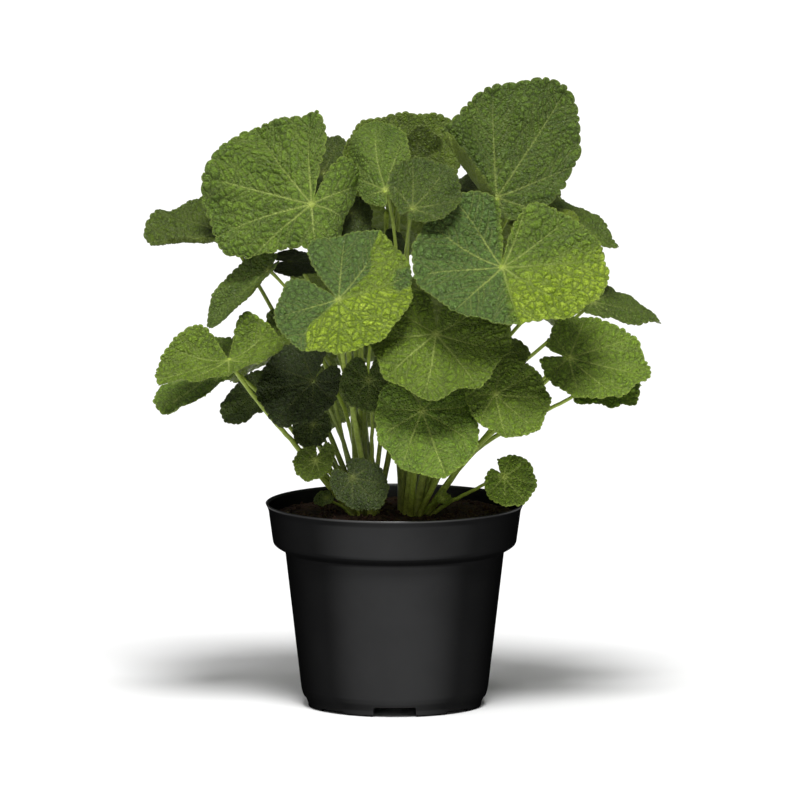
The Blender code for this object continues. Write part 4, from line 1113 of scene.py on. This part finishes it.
def pot_look():
    k = Nodes("black_pot_plastic")
    geometry = k.tree.nodes.new("ShaderNodeTexCoord").outputs["Object"]
    split = k.tree.nodes.new("ShaderNodeSeparateXYZ")
    k.put(split.inputs[0], geometry)
    broad = k.noise(geometry, 18.0, 3.0)
    fine = k.noise(geometry, 420.0, 3.0, 0.6)
    stretch = k.tree.nodes.new("ShaderNodeMapping")
    k.put(stretch.inputs["Vector"], geometry)
    stretch.inputs["Scale"].default_value = (1.0, 1.0, 14.0)
    rings = k.noise(stretch.outputs[0], 38.0, 2.0)
    dust = k.span(k.noise(geometry, 60.0, 5.0, 0.7), 0.55, 0.85, 0.0, 0.35)
    base = k.mix(k.span(broad, 0.3, 0.7), (0.0225, 0.0226, 0.0230), (0.0265, 0.0267, 0.0272))
    base = k.mix(dust, base, (0.034, 0.033, 0.031))
    # painted shade: the base colour darkens towards the pot's sides, where the surface turns away from the view
    rim = k.tree.nodes.new("ShaderNodeLayerWeight")
    rim.inputs["Blend"].default_value = 0.5
    facing = rim.outputs["Facing"]
    painted_edge_shade = k.math("MULTIPLY", k.span(facing, 0.03, 0.30, 1.0, 0.38), k.span(facing, 0.30, 0.80, 1.0, 0.40))
    base = k.mix(1.0, base, k.grey(painted_edge_shade), "MULTIPLY")
    k.put(k.shader.inputs["Base Color"], base)
    lip = k.math("MULTIPLY", k.span(split.outputs[2], 0.1478, 0.1494), k.span(k.math("ABSOLUTE", split.outputs[0]), 0.02, 0.075, 1.0, 0.15))
    k.put(k.shader.inputs["Roughness"], k.math("SUBTRACT", k.span(k.math("ADD", k.math("MULTIPLY", broad, 0.6), k.math("MULTIPLY", rings, 0.4)), 0.3, 0.7, 0.46, 0.58), k.math("MULTIPLY", lip, 0.16)))
    k.put(k.shader.inputs["Specular IOR Level"], k.math("MAXIMUM", k.span(facing, 0.03, 0.30, 0.08, 0.0), k.math("MULTIPLY", lip, 0.85)))
    height = k.math("ADD", k.math("MULTIPLY", fine, 0.35), k.math("MULTIPLY", rings, 0.65))
    k.put(k.shader.inputs["Normal"], k.bump(height, 0.10, 0.0004))
    return k.material


def soil_look():
    k = Nodes("dark_compost")
    geometry = k.tree.nodes.new("ShaderNodeTexCoord").outputs["Object"]
    grain, light = k.attribute("grain"), k.attribute("speck")
    broad = k.noise(geometry, 70.0, 4.0, 0.65)
    fine = k.noise(geometry, 700.0, 4.0, 0.7)
    base = k.mix(k.span(broad, 0.3, 0.7), (0.0080, 0.0042, 0.0030), (0.034, 0.0165, 0.0105))
    base = k.mix(k.span(grain, 0.0, 1.0, 0.0, 0.75), base, (0.060, 0.030, 0.018))
    base = k.mix(k.span(fine, 0.56, 0.80, 0.0, 0.6), base, (0.085, 0.048, 0.030))
    base = k.mix(light, base, (0.36, 0.29, 0.20))
    k.put(k.shader.inputs["Base Color"], base)
    k.put(k.shader.inputs["Roughness"], k.span(fine, 0.3, 0.7, 0.72, 0.95))
    k.shader.inputs["Specular IOR Level"].default_value = 0.2
    k.put(k.shader.inputs["Normal"], k.bump(fine, 0.7, 0.0009))
    return k.material


def floor_look():
    k = Nodes("pale_floor")
    geometry = k.tree.nodes.new("ShaderNodeTexCoord").outputs["Object"]
    cloud = k.noise(geometry, 1.5, 3.0)
    k.put(k.shader.inputs["Base Color"], k.mix(k.span(cloud, 0.2, 0.8), (0.850, 0.850, 0.850), (0.865, 0.865, 0.865)))
    k.shader.inputs["Roughness"].default_value = 0.9
    k.shader.inputs["Specular IOR Level"].default_value = 0.1
    return k.material


# ---------------------------------------------------------------- pot and soil
def fine_pot_profile():
    """The solid's profile with its corners rounded."""
    profile = np.array(pot_profile(), float)
    points = [profile[0]]
    for i in range(1, len(profile) - 1):
        a, b, c = profile[i - 1], profile[i], profile[i + 1]
        la, lc = np.linalg.norm(a - b), np.linalg.norm(c - b)
        turn = abs(math.degrees(math.atan2(np.cross(b - a, c - b), np.dot(b - a, c - b))))
        if turn < 4.0:
            points.append(b)
            continue
        cut_back = min(0.32 * la, 0.32 * lc, 0.9)
        p, q = b + (a - b) / la * cut_back, b + (c - b) / lc * cut_back
        for t in (0.0, 0.25, 0.5, 0.75, 1.0):
            points.append((1 - t) ** 2 * p + 2 * (1 - t) * t * b + t * t * q)
    points.append(profile[-1])
    return [tuple(p) for p in points]


def build_pot(material):
    points, faces = turned(fine_pot_profile(), 224)
    mesh = bpy.data.meshes.new("pot_blank")
    mesh.from_pydata([tuple(c * MM for c in p) for p in points], [], faces)
    work = bmesh.new()
    work.from_mesh(mesh)
    bmesh.ops.recalc_face_normals(work, faces=work.faces)
    work.to_mesh(mesh)
    work.free()
    blank = bpy.data.objects.new("pot_blank", mesh)
    bpy.context.scene.collection.objects.link(blank)
    cutters = []
    for i in range(4):
        cutters.append(notch_cutter(f"notch_high_{i}", 90.0 * i, NOTCH_WIDTH, NOTCH_HEIGHT, 9.0, None))
        cutters.append(notch_cutter(f"notch_low_{i}", 45.0 + 90.0 * i, LOW_NOTCH_WIDTH, LOW_NOTCH_HEIGHT, 9.0, None))
    for i in range(8):
        cutters.append(drain_cutter(f"drain_{i}", 22.5 + 45.0 * i, None))
    cut(blank, cutters)
    bpy.context.view_layer.update()
    graph = bpy.context.evaluated_depsgraph_get()
    final = bpy.data.meshes.new_from_object(blank.evaluated_get(graph))
    final.name = "look_pot"
    for obj in cutters + [blank]:
        bpy.data.objects.remove(obj, do_unlink=True)
    final.materials.clear()
    final.materials.append(material)
    final.shade_smooth()
    final.set_sharp_from_angle(angle=rad(38))
    obj = bpy.data.objects.new("look_pot", final)
    bpy.context.scene.collection.objects.link(obj)
    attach(obj, "root")
    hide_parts("pot")
    return obj


def soil_relief(x, y):
    clods = noise2(x / 7.0, y / 7.0, 2.0) * 1.5 + noise2(x / 3.1, y / 3.1, 5.0) * 1.3 + noise2(x / 1.5, y / 1.5, 8.0) * 0.9
    r = np.hypot(x, y)
    return SOIL_EDGE_Z + SOIL_MOUND * (1.0 - np.minimum(1.0, r / 88.0) ** 2) + clods - 2.1


def build_soil(material):
    edge = inner_radius(SOIL_EDGE_Z) - 0.25
    spacing = 1.25
    rng = np.random.default_rng(5)
    around = int(2 * math.pi * edge / spacing)
    a = 2 * math.pi * np.arange(around) / around
    rim = np.stack([np.cos(a), np.sin(a)], axis=1) * edge
    grid = hex_points(np.array([-edge, -edge]), np.array([edge, edge]), spacing, rng, 0.2)
    grid = grid[np.hypot(grid[:, 0], grid[:, 1]) < edge - 0.6 * spacing]
    coords = [Vector((float(x), float(y))) for x, y in np.concatenate([rim, grid])]
    result = delaunay_2d_cdt(coords, [], [list(range(around))], 1, 1e-5)
    flat = np.array([[v.x, v.y] for v in result[0]])
    tris = np.array([f for f in result[2] if len(f) == 3], int)
    p, q, s = flat[tris[:, 0]], flat[tris[:, 1]], flat[tris[:, 2]]
    area = (q[:, 0] - p[:, 0]) * (s[:, 1] - p[:, 1]) - (q[:, 1] - p[:, 1]) * (s[:, 0] - p[:, 0])
    tris[area < 0] = tris[area < 0][:, ::-1]
    z = soil_relief(flat[:, 0], flat[:, 1])
    top = np.concatenate([flat, z[:, None]], axis=1)
    # the rest of the root ball, under the surface
    edges = np.concatenate([tris[:, [0, 1]], tris[:, [1, 2]], tris[:, [2, 0]]])
    keys = {(int(m), int(n)) for m, n in edges}
    boundary = {m: n for m, n in keys if (n, m) not in keys}
    loop = [next(iter(boundary))]
    while boundary[loop[-1]] != loop[0]:
        loop.append(boundary[loop[-1]])
    points, faces = [top], [tuple(t) for t in tris.tolist()]
    count = len(top)
    previous = loop
    for zz in (COLLAR_FOOT_Z + 1.0, BODY_TOP_Z + 2.0, BODY_TOP_Z, 60.0, LEDGE_Z + 2.0):
        r = inner_radius(zz) - 0.7 - (4.5 if zz < 20 else 0.0)
        ring = flat[loop] / np.linalg.norm(flat[loop], axis=1, keepdims=True) * r
        points.append(np.concatenate([ring, np.full((len(loop), 1), zz)], axis=1))
        now = list(range(count, count + len(loop)))
        count += len(loop)
        for k in range(len(loop)):
            m = (k + 1) % len(loop)
            faces.append((previous[m], previous[k], now[k], now[m]))
        previous = now
    faces.append(tuple(previous))
    grain = [noise2(flat[:, 0] / 2.3, flat[:, 1] / 2.3, 12.0) ** 2, np.zeros(len(loop) * 5)]
    speck = [np.zeros(len(flat) + len(loop) * 5)]
    # crumbs
    work = bmesh.new()
    bmesh.ops.create_icosphere(work, subdivisions=2, radius=1.0)
    ball = np.array([v.co[:] for v in work.verts])
    ball_faces = [tuple(v.index for v in f.verts) for f in work.faces]
    work.free()
    for k in range(520):
        r, turn_to = edge * math.sqrt(rng.uniform(0.0, 0.98)), rng.uniform(0, 2 * math.pi)
        x, y = r * math.cos(turn_to), r * math.sin(turn_to)
        big = rng.uniform(0.45, 1.5) * (1.7 if rng.uniform() < 0.10 else 1.0)
        size = big * rng.uniform(0.55, 1.35, 3)
        if r > edge - size.max():
            continue
        shape = ball * size * (1.0 + rng.uniform(-0.24, 0.24, (len(ball), 1)))
        c, s_ = math.cos(turn_to * 3), math.sin(turn_to * 3)
        shape = np.stack([shape[:, 0] * c - shape[:, 1] * s_, shape[:, 0] * s_ + shape[:, 1] * c, shape[:, 2]], axis=1)
        zz = float(soil_relief(np.array([x]), np.array([y]))[0])
        points.append(shape + np.array([x, y, zz + 0.25 * size[2]]))
        faces += [tuple(i + count for i in f) for f in ball_faces]
        count += len(ball)
        grain.append(np.full(len(ball), rng.uniform(0.0, 1.0)))
        speck.append(np.full(len(ball), 1.0 if (rng.uniform() < 0.035 and big < 1.1) else 0.0))
    mesh = bpy.data.meshes.new("look_soil")
    mesh.from_pydata((np.concatenate(points) * MM).tolist(), [], faces)
    set_attribute(mesh, "grain", "FLOAT", np.concatenate(grain))
    set_attribute(mesh, "speck", "FLOAT", np.concatenate(speck))
    mesh.materials.append(material)
    mesh.validate()
    mesh.shade_smooth()
    obj = bpy.data.objects.new("look_soil", mesh)
    bpy.context.scene.collection.objects.link(obj)
    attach(obj, "root")
    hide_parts("soil")
    return obj


# ---------------------------------------------------------------- stage
def soft_sun(name, towards, spread, strength):
    """A distant soft box; `towards` points from the plant to the light."""
    light = bpy.data.lights.new(name, "SUN")
    light.energy = strength
    light.angle = rad(spread)
    obj = bpy.data.objects.new(name, light)
    obj.rotation_euler = Vector(towards).to_track_quat("Z", "Y").to_euler()
    obj.location = Vector(towards).normalized() * 3.0
    bpy.context.scene.collection.objects.link(obj)
    return obj


def build_stage():
    mesh = bpy.data.meshes.new("floor")
    far = 9.0
    mesh.from_pydata([(-far, -far, 0), (far, -far, 0), (far, far, 0), (-far, far, 0)], [], [(0, 1, 2, 3)])
    mesh.materials.append(floor_look())
    floor = bpy.data.objects.new("floor", mesh)
    bpy.context.scene.collection.objects.link(floor)
    world = bpy.data.worlds.new("studio")
    world.use_nodes = True
    world.node_tree.nodes["Background"].inputs["Color"].default_value = (1.0, 1.0, 1.0, 1.0)
    world.node_tree.nodes["Background"].inputs["Strength"].default_value = 0.13
    bpy.context.scene.world = world
    soft_sun("key", (0.04, -0.56, 1.00), 22.0, 3.60)
    soft_sun("top", (-0.50, -0.30, 1.0), 70.0, 0.75)
    soft_sun("fill", (0.1, -1.2, 0.30), 40.0, 0.28)
    scene = bpy.context.scene
    scene.view_settings.view_transform = "Standard"
    scene.view_settings.look = "None"
    camera = bpy.data.cameras.new("camera")
    camera.sensor_fit = "HORIZONTAL"
    camera.sensor_width = 36.0
    tilt = rad(8.3)
    distance = 20.0
    camera.lens = 36.0 * distance / (800 * 0.735 * MM)
    camera.clip_start = 0.5
    camera.clip_end = 100.0
    eye = bpy.data.objects.new("camera", camera)
    target = Vector((0.0039, 0.0, 0.226))
    eye.location = target + Vector((0.0, -math.cos(tilt), math.sin(tilt))) * distance
    eye.rotation_euler = (math.pi / 2 - tilt, 0.0, 0.0)
    bpy.context.scene.collection.objects.link(eye)
    scene.camera = eye


def main():
    leaf_material, stalk_material = leaf_look(), stalk_look()
    for index, leaf in enumerate(LEAVES):
        build_leaf(index, leaf, leaf_material, stalk_material)
    build_pot(pot_look())
    build_soil(soil_look())
    build_stage()
    bpy.context.view_layer.update()


main()
